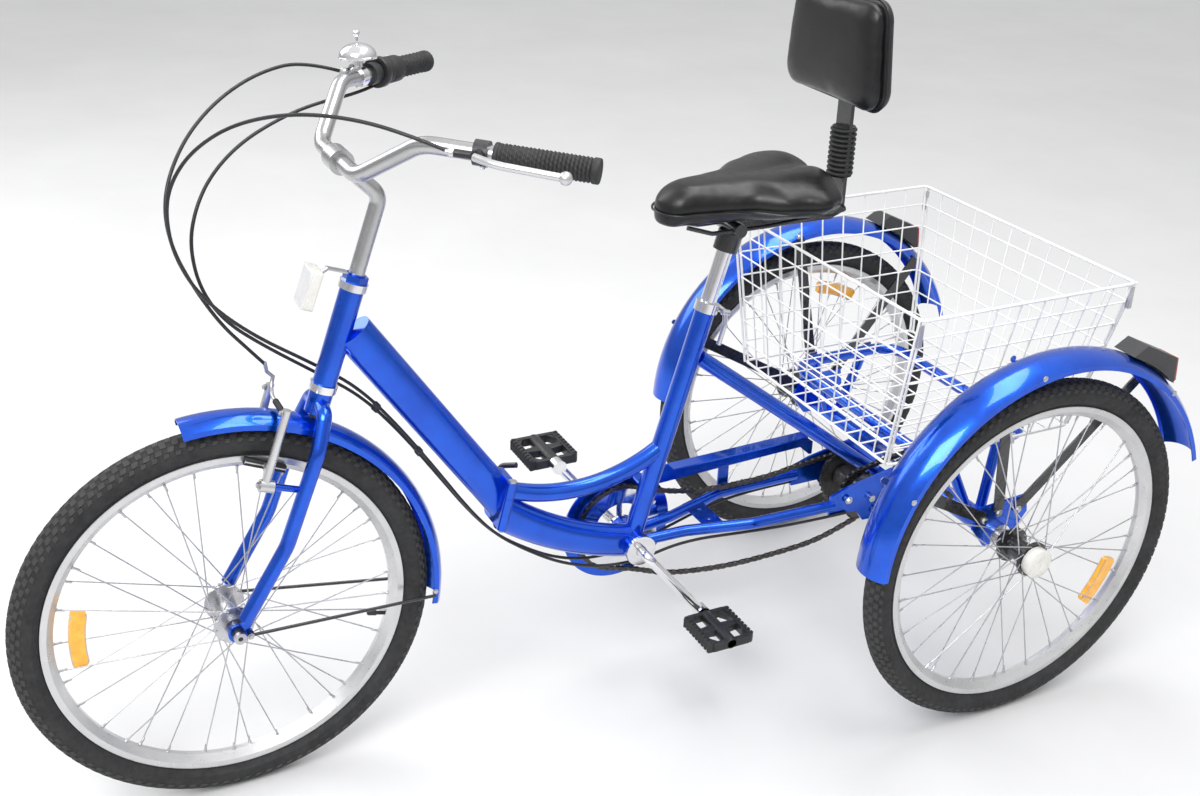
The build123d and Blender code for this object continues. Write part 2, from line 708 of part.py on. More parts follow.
with BuildPart() as chainring:
    disc(chain_x - 1.5, chain_x + 1.5, bb_point, chainring_radius - chain_height / 2 - chain_gap)
    disc(chain_x - 2, chain_x + 2, bb_point, 46, mode=Mode.SUBTRACT)
    with BuildSketch(side(chain_x - 1.5)):
        with Locations(bb_point):
            with PolarLocations(33, 5, start_angle=20):
                Rectangle(34, 9)
    extrude(amount=3)
    disc(chain_x - 4, chain_x + 2.8, bb_point, 20)
    disc(chain_x - 8, chain_x + 8, bb_point, 8.5 + running_gap, mode=Mode.SUBTRACT)
write(chainring.part, "chainring")


def make_pedal(name, sign):
    """A platform with two openings either side of its spindle sleeve."""
    turn = crank_angle if sign > 0 else crank_angle + 180
    centre = on_circle(bb_point, crank_length, turn)
    low = arm_x + 20
    high = arm_x + 110
    x_low, x_high = (low, high) if sign > 0 else (-high, -low)
    half = 44
    outline = [
        (centre[0] - half, centre[1] - 11), (centre[0] + half, centre[1] - 11),
        (centre[0] + half, centre[1] + 11), (centre[0] - half, centre[1] + 11),
    ]
    with BuildPart() as pedal:
        sheet(x_low, x_high, outline)
        for away in (-26, 26):
            with BuildSketch(Plane.XY.offset(centre[1] - 30)):
                with Locations(((x_low + x_high) / 2, rear_axle_y + centre[0] + away)):
                    RectangleRounded(56, 20, 6)
            extrude(amount=60, mode=Mode.SUBTRACT)
        disc(x_low - 1, x_high + 1, centre, 4.5 + running_gap, mode=Mode.SUBTRACT)
    write(pedal.part, name)


make_pedal("pedal_left", 1)
make_pedal("pedal_right", -1)

# Fork: steerer, crown, two curved blades with dropouts and brake bosses
with BuildPart() as fork:
    rod(steered(0, 0, -26), steered(0, 0, head_length + cup_height + locknut_height - 2), steerer_radius)
    rod(steered(0, 0, -44), steered(0, 0, -cup_height - touch_gap), cup_radius - 3)
    for sign in (-1, 1):
        bent_rod(
            [
                steered(sign * 4, 0, -28),
                steered(sign * 34, 0, -34),
                steered(sign * blade_spread, -1, -84),
                steered(sign * blade_spread, -6, -230),
                steered(sign * blade_spread, -34, -352),
            ],
            [14, 30, 90],
            blade_radius,
        )
        inner = dropout_inner if sign > 0 else -dropout_inner - dropout_thick
        tip = steered(0, -30, -352)
        foot_back = tip.Y - rear_axle_y
        disc(inner, inner + dropout_thick, front_centre, 14)
        sheet(inner, inner + dropout_thick, [
            (foot_back - 12, tip.Z - 4), (foot_back + 10, tip.Z + 6),
            (front_centre[0] + 13, front_centre[1] - 4), (front_centre[0] - 13, front_centre[1] + 4)])
        disc(inner, inner + dropout_thick, (front_centre[0] + 16, front_centre[1] - 4), 6)
        rod(steered(sign * brake_pivot_x, 0, -brake_pivot_drop),
            steered(sign * brake_pivot_x, -brake_reach + 12, -brake_pivot_drop), 5)
    rod(steered(0, 0, -20), steered(0, 0, head_length + 60), stem_radius + running_gap, mode=Mode.SUBTRACT)
    disc(-80, 80, front_centre, front_axle_radius + running_gap, mode=Mode.SUBTRACT)
    with BuildSketch(steering_plane(head_length + cup_height + touch_gap)):
        RegularPolygon(18, 6)
        Circle(steerer_radius + running_gap, mode=Mode.SUBTRACT)
    extrude(amount=locknut_height - 4)
write(fork.part, "fork")

# Headset: two cups on the head tube, and the locknut that turns with the fork
with BuildPart() as headset_cups:
    rod(steered(0, 0, -cup_height), steered(0, 0, -touch_gap), cup_radius)
    rod(steered(0, 0, head_length + touch_gap), steered(0, 0, head_length + cup_height), cup_radius)
    rod(steered(0, 0, -30), steered(0, 0, head_length + 40), steerer_radius + running_gap, mode=Mode.SUBTRACT)
write(headset_cups.part, "headset_cups")

# Stem: quill up the steerer, a bend forwards, and the bar clamp
stem_bend = steered(0, 0, 276)
with BuildPart() as stem:
    bent_rod([steered(0, 0, 40), stem_bend, place(0, *clamp_point)], 22, stem_radius)
    disc(-18, 18, clamp_point, bar_radius + 6)
    disc(-19, 19, clamp_point, bar_radius + running_gap, mode=Mode.SUBTRACT)
write(stem.part, "stem")

# Handlebar, bent up, out and back to the grips
bar_points = [
    place(0, *clamp_point),
    place(80, *clamp_point),
    place(166, -936, 1017),
    place(300, -765, 1003),
]
with BuildPart() as handlebar:
    bent_rod(bar_points, [50, 50], bar_radius)
    mirror(about=Plane.YZ)
write(handlebar.part, "handlebar")

bar_straight = (Vector(bar_points[3]) - Vector(bar_points[2])).normalized()


def on_grip(sign, along, radius=0.0, turn=0.0):
    """A point on the straight end of the bar, measured in from its tip, and out from its axis."""
    mirrored = Vector(sign * bar_straight.X, bar_straight.Y, bar_straight.Z)
    tip = Vector(sign * bar_points[3].X, bar_points[3].Y, bar_points[3].Z)
    forward = Vector(0, -1, 0) - mirrored * Vector(0, -1, 0).dot(mirrored)
    forward = forward.normalized()
    up = forward.cross(mirrored).normalized()
    if up.Z < 0:
        up = up * -1
    out = forward * cos(radians(turn)) + up * sin(radians(turn))
    return tip - mirrored * along + out * radius


with BuildPart() as grips:
    rod(on_grip(1, -4), on_grip(1, 126), grip_radius)
    rod(on_grip(1, 0), on_grip(1, 140), bar_radius + grip_wall_gap, mode=Mode.SUBTRACT)
    rod(on_grip(-1, -4), on_grip(-1, 78), grip_radius)
    rod(on_grip(-1, 0), on_grip(-1, 90), bar_radius + grip_wall_gap, mode=Mode.SUBTRACT)
write(grips.part, "grips")

with BuildPart() as twist_shifter:
    rod(on_grip(-1, 79), on_grip(-1, 118), 20)
    rod(on_grip(-1, 60), on_grip(-1, 130), bar_radius + grip_wall_gap, mode=Mode.SUBTRACT)
write(twist_shifter.part, "twist_shifter")

bracket_at = 142
lever_reach = 34
lever_turn = 12
with BuildPart() as brake_brackets:
    for sign in (-1, 1):
        rod(on_grip(sign, bracket_at - 9), on_grip(sign, bracket_at + 9), 16)
        rod(on_grip(sign, bracket_at, 8, lever_turn), on_grip(sign, bracket_at, lever_reach - 5.2, lever_turn), 7)
        rod(on_grip(sign, bracket_at - 4, lever_reach - 12, lever_turn),
            on_grip(sign, bracket_at + 30, lever_reach - 8, lever_turn), 5)
        rod(on_grip(sign, bracket_at - 14), on_grip(sign, bracket_at + 14), bar_radius + grip_wall_gap,
            mode=Mode.SUBTRACT)
    rod(on_grip(-1, 119), on_grip(-1, 131), 22)
    rod(on_grip(-1, 110), on_grip(-1, 140), bar_radius + grip_wall_gap, mode=Mode.SUBTRACT)
write(brake_brackets.part, "brake_brackets")


def make_brake_lever(name, sign):
    """A blade from its pivot out along the grip, ending in a ball."""
    pivot = on_grip(sign, bracket_at, lever_reach, lever_turn)
    elbow = on_grip(sign, bracket_at - 28, lever_reach + 14, lever_turn - 3)
    tip = on_grip(sign, 28, lever_reach + 10, lever_turn - 8)
    with BuildPart() as lever:
        bent_rod([pivot, elbow, tip], 60, 5)
        with Locations(Location(tuple(tip))):
            Sphere(8.5)
    write(lever.part, name)
    return lever.part


left_lever = make_brake_lever("brake_lever_left", 1)
with BuildPart() as right_lever:
    mirror(left_lever, about=Plane.YZ)
write(right_lever.part, "brake_lever_right")

# Bell on the right side of the bar, and its striker
bell_seat = on_grip(-1, 172)
bell_along = (on_grip(-1, 162) - bell_seat).normalized()
bell_axis = (on_grip(-1, 172, 10, 90) - bell_seat).normalized()
bell_foot = bell_seat + bell_axis * 13
with BuildPart() as bell:
    rod(bell_seat - bell_along * 7, bell_seat + bell_along * 7, 15)
    rod(bell_seat - bell_along * 12, bell_seat + bell_along * 12, bar_radius + grip_wall_gap, mode=Mode.SUBTRACT)
    rod(bell_foot, bell_foot + bell_axis * 13, 6)
    rod(bell_foot + bell_axis * 12, bell_foot + bell_axis * 18, 28)
    rod(bell_foot + bell_axis * 18, bell_foot + bell_axis * 29, 26)
    rod(bell_foot + bell_axis * 29, bell_foot + bell_axis * 36, 19)
write(bell.part, "bell")

with BuildPart() as bell_striker:
    rod(bell_foot + bell_axis * 36.6, bell_foot + bell_axis * 45, 2)
    with Locations(Location(tuple(bell_foot + bell_axis * 47))):
        Sphere(5)
write(bell_striker.part, "bell_striker")

# Front reflector on its bent bracket
with BuildPart() as front_reflector:
    shelf = head_length + cup_height + locknut_height - 3.8
    lens_at = place(0, -1042, 786)
    with BuildSketch(steering_plane(shelf)):
        with Locations((0, -26)):
            Rectangle(14, 34)
        Circle(steerer_radius + 3, mode=Mode.SUBTRACT)
    extrude(amount=2)
    rod(steered(0, -42, shelf + 1), lens_at + Vector(0, 8, 12), 3)
    with BuildSketch(Plane(origin=lens_at, x_dir=(1, 0, 0), z_dir=(0, -0.94, 0.34))):
        RectangleRounded(44, 56, 5)
    extrude(amount=7, both=True)
write(front_reflector.part, "front_reflector")

# Front fender with its bracket, and two wire stays from the dropouts
with BuildPart() as front_fender:
    bend_fender(0, front_centre, front_fender_radius, front_fender_half_width, front_fender_from, front_fender_to)
write(front_fender.part, "front_fender")

with BuildPart() as front_fender_stays:
    for sign in (-1, 1):
        eye = (front_centre[0] + 16, front_centre[1] - 4)
        tip = on_circle(front_centre, front_fender_radius - 17, -6)
        inner = sign * (dropout_inner + dropout_thick + touch_gap)
        outer = sign * (dropout_inner + dropout_thick + 7)
        disc(min(inner, outer), max(inner, outer), eye, 4)
        rod(place(outer - sign * 3, *eye), place(sign * (front_fender_half_width + 2.8), *tip), 2.5)
    fender_top = place(0, *on_circle(front_centre, front_fender_radius + touch_gap, 64.4))
    rod(fender_top, place(0, *on_circle(front_centre, front_fender_radius + 7.6, 64.4)), 6)
write(front_fender_stays.part, "front_fender_stays")


def make_brake_arm(name, sign):
    """A lever arm on its fork boss, carrying a pad beside the rim."""
    arm_x = sign * brake_pivot_x
    with BuildPart() as arm:
        rod(steered(arm_x, -brake_reach + 11.7, -brake_pivot_drop), steered(arm_x, -brake_reach - 8, -brake_pivot_drop), 9)
        rod(steered(arm_x, -brake_reach, -brake_pivot_drop),
            steered(sign * (brake_pivot_x + 2), -brake_reach, -brake_pivot_drop + brake_arm_length), 6)
        rod(steered(sign * (rim_half_width + pad_gap + 8), -brake_reach, -pad_drop),
            steered(sign * (brake_pivot_x - 2), -brake_reach, -pad_drop), 4)
        rod(steered(sign * (rim_half_width + pad_gap + 5), -brake_reach - 30, -pad_drop + 2),
            steered(sign * (rim_half_width + pad_gap + 5), -brake_reach + 30, -pad_drop - 3), 5)
    write(arm.part, name)


make_brake_arm("brake_arm_left", 1)
make_brake_arm("brake_arm_right", -1)

# Seat clamp collar with its quick lever
cam_radius = 4.7
cam_x = 14 + cam_radius + 0.3
with BuildPart() as seat_clamp:
    rod(on_seat_tube(0, seat_length + touch_gap), on_seat_tube(0, seat_length + 16), seat_tube_radius + 3)
    rod(on_seat_tube(-14, seat_length + 8, 24), on_seat_tube(14, seat_length + 8, 24), 5)
    rod(on_seat_tube(0, seat_length + 8, 10), on_seat_tube(0, seat_length + 8, 24), 6)
    rod(on_seat_tube(0, seat_length - 5), on_seat_tube(0, seat_length + 25), seat_post_radius + running_gap,
        mode=Mode.SUBTRACT)
write(seat_clamp.part, "seat_clamp")

with BuildPart() as seat_clamp_lever:
    rod(on_seat_tube(cam_x, seat_length + 8, 17), on_seat_tube(cam_x, seat_length + 8, 31), cam_radius)
    bent_rod([on_seat_tube(cam_x, seat_length + 8, 24), on_seat_tube(cam_x + 4, seat_length - 12, 28),
              on_seat_tube(cam_x + 4, seat_length - 44, 28)], 20, 4)
write(seat_clamp_lever.part, "seat_clamp_lever")

# Fold latch on the right of the hinge: a cam lever over the plates
with BuildPart() as fold_latch:
    rod(hinged(-hinge_barrel_x + 1, 9, -18), hinged(-hinge_barrel_x + 1, 9, 18), 7)
    bent_rod([hinged(-hinge_barrel_x + 1, 9, 14), hinged(-hinge_barrel_x - 2, 10, 34), hinged(-14, 26, 46)], 12, 4.5)
write(fold_latch.part, "fold_latch")

# Seat post, saddle and the frame below it
saddle_plan = [(saddle_nose, 20), (saddle_nose + 60, 34), (saddle_nose + 120, 58), (saddle_nose + 170, 106), (saddle_tail - 40, saddle_half_width), (saddle_tail, 96)]
post_top = 529
with BuildPart() as seat_post:
    rod(on_seat_tube(0, seat_length - 160), on_seat_tube(0, post_top), seat_post_radius)
write(seat_post.part, "seat_post")



def saddle_section(z, inset):
    """The saddle's plan at a height, drawn in from its widest outline."""
    left_edge = [(half - inset * half / saddle_half_width - inset / 4, rear_axle_y + back) for back, half in saddle_plan]
    right_edge = [(-x, y) for x, y in left_edge]
    nose = (0, rear_axle_y + saddle_nose - 12 + inset / 3)
    tail = (0, rear_axle_y + saddle_tail + 10 - inset / 3)
    with BuildSketch(Plane.XY.offset(z)) as section:
        with BuildLine():
            Spline(nose, *left_edge, tail, *right_edge[::-1], periodic=True)
        make_face()
    return section.sketch


with BuildPart() as saddle:
    height = saddle_top_z - saddle_foot_z
    loft([saddle_section(saddle_foot_z + share * height, inset)
          for share, inset in ((0, 26), (0.35, 4), (0.62, 0), (0.88, 14), (1, 40))])
write(saddle.part, "saddle")

with BuildPart() as saddle_frame:
    rod(on_seat_tube(0, post_top - 24), on_seat_tube(0, post_top + 6), seat_post_radius + 7)
    disc(-30, 30, (-384, 790), 11)
    for sign in (-1, 1):
        bent_rod(
            [place(sign * 16, -470, saddle_foot_z - 3.8), place(sign * 22, -430, 790), place(sign * 22, -330, 790),
             place(sign * 40, -262, saddle_foot_z - 3.8)],
            20,
            3.5,
        )
    sheet(-18, 18, [(-384, 792), (-384, 786), (-212, 786), (-190, 800), (-190, 1002), (-196, 1002), (-196, 804), (-214, 792)])
    rod(on_seat_tube(0, post_top - 60), on_seat_tube(0, post_top + touch_gap), seat_post_radius + running_gap,
        mode=Mode.SUBTRACT)
write(saddle_frame.part, "saddle_frame")

with BuildPart() as bellows:
    rod(place(0, -193, bellows_foot_z), place(0, -193, bellows_top_z), bellows_radius)
    with BuildSketch(Plane.XY.offset(bellows_foot_z - 1)):
        with Locations((0, rear_axle_y - 193)):
            Rectangle(36.6, 6.6)
    extrude(amount=bellows_top_z - bellows_foot_z + 2, mode=Mode.SUBTRACT)
write(bellows.part, "backrest_bellows")

with BuildPart() as backrest:
    with BuildSketch(Plane(origin=place(0, pad_back - soft_gap, pad_foot_z + pad_height / 2), x_dir=(1, 0, 0),
                           z_dir=(0, -1, 0))):
        with BuildLine():
            Polyline((-pad_width / 2, -pad_height / 2), (pad_width / 2, -pad_height / 2),
                     (pad_width / 2 - 14, pad_height / 2), (-pad_width / 2 + 14, pad_height / 2), close=True)
        make_face()
        fillet(vertices(), 34)
    extrude(amount=pad_thick)
    fillet(backrest.faces().sort_by(Axis.Y)[0].edges(), 14)
write(backrest.part, "backrest")

# Cables: each point is chosen along the real route
housing_radius_cable = 2.5


def make_cable(name, points):
    """A cable housing: straight runs joined by arcs as large as the runs allow."""
    corners = [Vector(point) for point in points]
    bends = []
    for before, corner, after in zip(corners, corners[1:], corners[2:]):
        turn = radians((corner - before).get_angle(after - corner))
        shorter = min((corner - before).length, (after - corner).length)
        bends.append(0.45 * shorter / (sin(turn / 2) / cos(turn / 2)))
    with BuildPart() as cable:
        with BuildLine() as path:
            FilletPolyline(*corners, radius=bends)
        with BuildSketch(Plane(origin=path.line @ 0, z_dir=path.line % 0)):
            Circle(housing_radius_cable)
        sweep()
    length = sum(edge.length for edge in path.edges())
    section = pi * housing_radius_cable ** 2
    print(name, "length", round(length), "volume ratio", round(cable.part.volume / (section * length), 4),
          "radii", [round(bend) for bend in bends])
    write(cable.part, name)


lever_ferrule_left = on_grip(1, bracket_at + 30.8, lever_reach - 8, lever_turn)
lever_ferrule_right = on_grip(-1, bracket_at + 31.8, lever_reach - 8, lever_turn)
make_cable("front_brake_cable", [
    lever_ferrule_right, place(-216, -974, 1037), place(-188, -1042, 1033), place(-148, -1106, 1014),
    place(-102, -1160, 984), place(-66, -1196, 944), place(-48, -1212, 900), place(-40, -1208, 848),
    place(-40, -1184, 788), place(-42, -1153, 731), place(-43, -1120, 690), place(-43, -1099, 664),
])
make_cable("rear_brake_cable", [
    lever_ferrule_left, place(172, -960, 1034), place(120, -1012, 1044), place(65, -1070, 1041),
    place(15, -1128, 1020), place(-15, -1174, 984), place(-25, -1203, 943), place(-27, -1214, 900),
    place(-29, -1208, 841), place(-31, -1179, 779), place(-32, -1119, 717), place(-29, -1030, 656),
    place(-22, -972, 613), place(-9, -920, 548), place(-8, -866, 468), place(-8, -815, 388),
    place(-8, -770, 330), place(-2, -714, 288), place(8, -660, 258), place(16, -598, 240),
    place(20, -530, 237), place(26, -446, 259), place(54, -340, 266), place(65.2, -236, 266), place(65, -150, 265),
])
make_cable("shift_cable", [
    on_grip(-1, 131.4, 19.5, -75), on_grip(-1, 172, 25, -75), place(-172, -966, 988), place(-148, -1022, 980),
    place(-112, -1092, 960), place(-82, -1142, 928), place(-63, -1170, 889), place(-53, -1183, 843),
    place(-46, -1176, 785), place(-42, -1148, 735), place(-38, -1100, 694), place(-36, -1030, 642),
    place(-30, -968, 597), place(-19, -914, 532), place(-18, -860, 452), place(-18, -808, 374),
    place(-18, -764, 322), place(-18, -708, 281), place(-18, -656, 252), place(-18, -598, 236),
    place(-20, -530, 237), place(-26, -446, 259), place(-54, -340, 266), place(-65.2, -236, 266), place(-65, -150, 265),
])

# Fittings: the hinge pin, the rear plates' bolts, and four clips that hold the basket on the rack
with BuildPart() as frame_fittings:
    rod(hinged(hinge_barrel_x, 0, -hinge_length / 2 - 4), hinged(hinge_barrel_x, 0, hinge_length / 2 + 2),
        hinge_pin_radius)
    rod(hinged(hinge_barrel_x, 0, hinge_length / 2 + touch_gap), hinged(hinge_barrel_x, 0, hinge_length / 2 + 3), 6.5)
    for sign in (-1, 1):
        for bolt in ((-90, 256), (-150, 290), (-22, 316)):
            inner = sign * (plate_x + touch_gap)
            outer = sign * (plate_x + 5)
            disc(min(inner, outer), max(inner, outer), bolt, 5)
        for back in (-60, 60):
            inner = sign * (rack_x + rack_radius + touch_gap)
            outer = sign * (rack_x + rack_radius + 3)
            outline = [(back - 8, rack_z - 8), (back + 8, rack_z - 8), (back + 8, basket_foot_z - touch_gap),
                       (back - 8, basket_foot_z - touch_gap)]
            sheet(min(inner, outer), max(inner, outer), outline)
write(frame_fittings.part, "frame_fittings")
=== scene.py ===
import json
from math import atan2, cos, degrees, pi, radians, sin, sqrt

import bpy
from mathutils import Matrix, Vector


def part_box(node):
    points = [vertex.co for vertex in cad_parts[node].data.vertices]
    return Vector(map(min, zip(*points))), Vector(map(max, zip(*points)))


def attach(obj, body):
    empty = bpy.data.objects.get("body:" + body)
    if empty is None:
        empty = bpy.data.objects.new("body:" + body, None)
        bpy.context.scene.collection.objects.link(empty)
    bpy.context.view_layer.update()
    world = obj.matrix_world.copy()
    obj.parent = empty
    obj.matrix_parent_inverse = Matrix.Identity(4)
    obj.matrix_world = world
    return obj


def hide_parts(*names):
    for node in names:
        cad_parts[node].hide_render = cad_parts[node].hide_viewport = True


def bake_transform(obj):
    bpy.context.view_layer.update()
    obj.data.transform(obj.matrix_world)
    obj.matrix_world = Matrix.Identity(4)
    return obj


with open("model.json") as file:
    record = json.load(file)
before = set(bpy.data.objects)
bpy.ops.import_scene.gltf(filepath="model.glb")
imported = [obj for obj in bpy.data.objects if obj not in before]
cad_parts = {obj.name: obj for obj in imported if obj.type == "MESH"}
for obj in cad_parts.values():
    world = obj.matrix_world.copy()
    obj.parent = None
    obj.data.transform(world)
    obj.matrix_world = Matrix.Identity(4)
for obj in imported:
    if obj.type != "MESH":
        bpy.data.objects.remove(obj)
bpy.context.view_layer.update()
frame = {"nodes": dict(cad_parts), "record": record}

# Lengths here are millimetres, turned into metres when a piece is made.
# Side outlines give (back, z): the distance behind the rear axle, then the height.
nodes = frame["nodes"]
rear_axle_y = 1000 * (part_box("left_rim")[0][1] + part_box("left_rim")[1][1]) / 2
wheel_radius = 301
wheel_base = 1187
track = 656
rear_centre = (0, wheel_radius)
front_centre = (-wheel_base, wheel_radius)
fender_centre = (14, 321)
bb = (-533, 267)
jack = (-102, 284)


def place(x, back, z):
    return Vector((x, rear_axle_y + back, z))


def on_circle(centre, radius, angle):
    return (centre[0] + radius * cos(radians(angle)), centre[1] + radius * sin(radians(angle)))


def steered(x, rear, along):
    rise, run = sin(radians(71)), cos(radians(71))
    return place(x, -1028 + along * run + rear * rise, 641 + along * rise - rear * run)


grip_tip = place(300, -765, 1003)
grip_line = (grip_tip - place(166, -936, 1017)).normalized()


def on_grip(sign, along, radius=0.0, turn=0.0):
    line = Vector((sign * grip_line.x, grip_line.y, grip_line.z))
    tip = Vector((sign * grip_tip.x, grip_tip.y, grip_tip.z))
    forward = Vector((0, -1, 0))
    forward = (forward - line * forward.dot(line)).normalized()
    up = forward.cross(line).normalized()
    if up.z < 0:
        up = -up
    return tip - line * along + (forward * cos(radians(turn)) + up * sin(radians(turn))) * radius


# Materials -----------------------------------------------------------------------------------

def finish(name, low, high, rough, metallic=0.0, spread=18.0, grain=900.0, bump=0.05, kind="noise",
           stretch=(1, 1, 1), coat=0.0, coat_rough=0.05, wear=None, wear_at=0.56, **fixed):
    """A node material: colour and roughness drift over the surface, fine bump, and worn edges."""
    mat = bpy.data.materials.new(name)
    mat.use_nodes = True
    tree = mat.node_tree
    shader = tree.nodes["Principled BSDF"]
    link = tree.links.new
    coords = tree.nodes.new("ShaderNodeTexCoord")
    mapping = tree.nodes.new("ShaderNodeMapping")
    mapping.inputs["Scale"].default_value = stretch
    link(coords.outputs["Object"], mapping.inputs["Vector"])
    drift = tree.nodes.new("ShaderNodeTexNoise")
    drift.inputs["Scale"].default_value = spread
    drift.inputs["Detail"].default_value = 8
    drift.inputs["Roughness"].default_value = 0.62
    link(mapping.outputs["Vector"], drift.inputs["Vector"])
    ramp = tree.nodes.new("ShaderNodeValToRGB")
    ramp.color_ramp.elements[0].position = 0.3
    ramp.color_ramp.elements[1].position = 0.7
    ramp.color_ramp.elements[0].color = (*low, 1)
    ramp.color_ramp.elements[1].color = (*high, 1)
    link(drift.outputs["Fac"], ramp.inputs["Fac"])
    colour = ramp.outputs["Color"]
    if wear:
        shape = tree.nodes.new("ShaderNodeNewGeometry")
        edge = tree.nodes.new("ShaderNodeMapRange")
        edge.inputs["From Min"].default_value = wear_at
        edge.inputs["From Max"].default_value = wear_at + 0.09
        edge.inputs["To Max"].default_value = 0.55
        link(shape.outputs["Pointiness"], edge.inputs["Value"])
        mix = tree.nodes.new("ShaderNodeMix")
        mix.data_type = "RGBA"
        mix.inputs[7].default_value = (*wear, 1)
        link(edge.outputs["Result"], mix.inputs[0])
        link(colour, mix.inputs[6])
        colour = mix.outputs[2]
    link(colour, shader.inputs["Base Color"])
    smear = tree.nodes.new("ShaderNodeTexNoise")
    smear.inputs["Scale"].default_value = spread * 4.3
    smear.inputs["Detail"].default_value = 5
    link(mapping.outputs["Vector"], smear.inputs["Vector"])
    level = tree.nodes.new("ShaderNodeMapRange")
    level.inputs["From Min"].default_value = 0.3
    level.inputs["From Max"].default_value = 0.7
    level.inputs["To Min"].default_value = rough[0]
    level.inputs["To Max"].default_value = rough[1]
    link(smear.outputs["Fac"], level.inputs["Value"])
    link(level.outputs["Result"], shader.inputs["Roughness"])
    if kind == "cells":
        fine = tree.nodes.new("ShaderNodeTexVoronoi")
        fine.feature = "DISTANCE_TO_EDGE"
        height = fine.outputs["Distance"]
    else:
        fine = tree.nodes.new("ShaderNodeTexNoise")
        fine.inputs["Detail"].default_value = 6
        height = fine.outputs["Fac"]
    fine.inputs["Scale"].default_value = grain
    link(mapping.outputs["Vector"], fine.inputs["Vector"])
    dent = tree.nodes.new("ShaderNodeBump")
    dent.inputs["Strength"].default_value = bump
    dent.inputs["Distance"].default_value = 0.0006
    link(height, dent.inputs["Height"])
    link(dent.outputs["Normal"], shader.inputs["Normal"])
    shader.inputs["Metallic"].default_value = metallic
    shader.inputs["Coat Weight"].default_value = coat
    shader.inputs["Coat Roughness"].default_value = coat_rough
    for socket, value in fixed.items():
        shader.inputs[socket.replace("_", " ")].default_value = value
    return mat


blue = finish("blue_lacquer", (0.0015, 0.070, 0.56), (0.003, 0.105, 0.72), (0.18, 0.26), metallic=0.85, grain=2600,
              bump=0.03, coat=0.7, coat_rough=0.03)
white = finish("white_wire_enamel", (0.74, 0.74, 0.73), (0.9, 0.9, 0.89), (0.25, 0.42), grain=700, bump=0.12, coat=0.5,
               wear=(0.62, 0.61, 0.58), wear_at=0.68)
gloss_black = finish("black_lacquer", (0.006, 0.006, 0.007), (0.018, 0.018, 0.02), (0.2, 0.36), grain=1500,
                     bump=0.08, coat=0.6)
chrome = finish("chrome_plate", (0.72, 0.72, 0.74), (0.86, 0.86, 0.87), (0.06, 0.17), metallic=1.0, grain=600,
                bump=0.03)
satin = finish("satin_silver", (0.44, 0.44, 0.445), (0.52, 0.52, 0.525), (0.24, 0.28), metallic=0.95, grain=1800,
               bump=0.06, stretch=(1, 0.5, 1))
alloy = finish("brushed_alloy", (0.58, 0.58, 0.585), (0.68, 0.68, 0.685), (0.26, 0.36), metallic=0.85, grain=1200,
               bump=0.06, stretch=(3, 1, 1))
steel = finish("zinc_steel", (0.42, 0.42, 0.44), (0.62, 0.62, 0.64), (0.22, 0.42), metallic=1.0, grain=900,
               bump=0.08)
dark_steel = finish("oiled_steel", (0.022, 0.021, 0.02), (0.085, 0.082, 0.078), (0.25, 0.5), metallic=0.85, spread=60,
                    grain=1400, bump=0.15, wear=(0.24, 0.23, 0.22))
tyre_rubber = finish("tyre_rubber", (0.010, 0.010, 0.011), (0.026, 0.026, 0.027), (0.62, 0.85), spread=30,
                     grain=1100, bump=0.35, wear=(0.05, 0.05, 0.05))
soft_rubber = finish("grip_rubber", (0.010, 0.010, 0.011), (0.022, 0.022, 0.023), (0.5, 0.7), spread=40,
                     grain=1600, bump=0.25, wear=(0.05, 0.05, 0.052))
plastic = finish("moulded_plastic", (0.009, 0.009, 0.010), (0.019, 0.019, 0.021), (0.28, 0.46), spread=35,
                 grain=1900, bump=0.2, kind="cells", wear=(0.05, 0.05, 0.055))
vinyl = finish("grained_vinyl", (0.004, 0.004, 0.0045), (0.008, 0.008, 0.009), (0.28, 0.4), spread=22,
               grain=780, bump=0.2, kind="cells", coat=0.1, coat_rough=0.28, Specular_IOR_Level=0.36)
clear_lens = finish("clear_prism_lens", (0.72, 0.72, 0.74), (0.9, 0.9, 0.92), (0.05, 0.15), spread=60, grain=330,
                    bump=0.9, kind="cells", coat=1.0, metallic=0.35)
red_lens = finish("red_prism_lens", (0.22, 0.004, 0.004), (0.45, 0.012, 0.010), (0.08, 0.2), spread=60, grain=330,
                  bump=0.9, kind="cells", coat=1.0)
amber_lens = finish("amber_prism_lens", (0.86, 0.34, 0.008), (0.98, 0.52, 0.03), (0.1, 0.22), spread=60, grain=330,
                    bump=0.9, kind="cells", coat=1.0)
ivory = finish("ivory_cap", (0.66, 0.65, 0.60), (0.80, 0.79, 0.75), (0.22, 0.36), spread=40, grain=900, bump=0.1,
               coat=0.4, wear=(0.86, 0.85, 0.82))

by_slot = {
    "blue_paint": blue, "white_paint": white, "black_paint": gloss_black, "chrome": chrome, "aluminium": alloy,
    "steel": steel, "dark_steel": dark_steel, "tyre": tyre_rubber, "rubber": soft_rubber,
    "black_plastic": plastic, "vinyl": vinyl, "lens": clear_lens, "red_lens": red_lens,
}
other = {"handlebar": satin, "stem": satin, "drive_axle": steel, "front_reflector": steel, "rear_brake": gloss_black,
         "fold_latch": gloss_black, "left_hub": steel, "right_hub": steel}
slot_of = {part["node"]: part["material_slot"] for part in frame["record"]["subparts"]}
for node, obj in nodes.items():
    skin = other.get(node, by_slot[slot_of[node]])
    for index in range(max(1, len(obj.material_slots))):
        if not obj.material_slots:
            obj.data.materials.append(skin)
        obj.material_slots[index].material = skin


# Mesh makers -----------------------------------------------------------------------------------

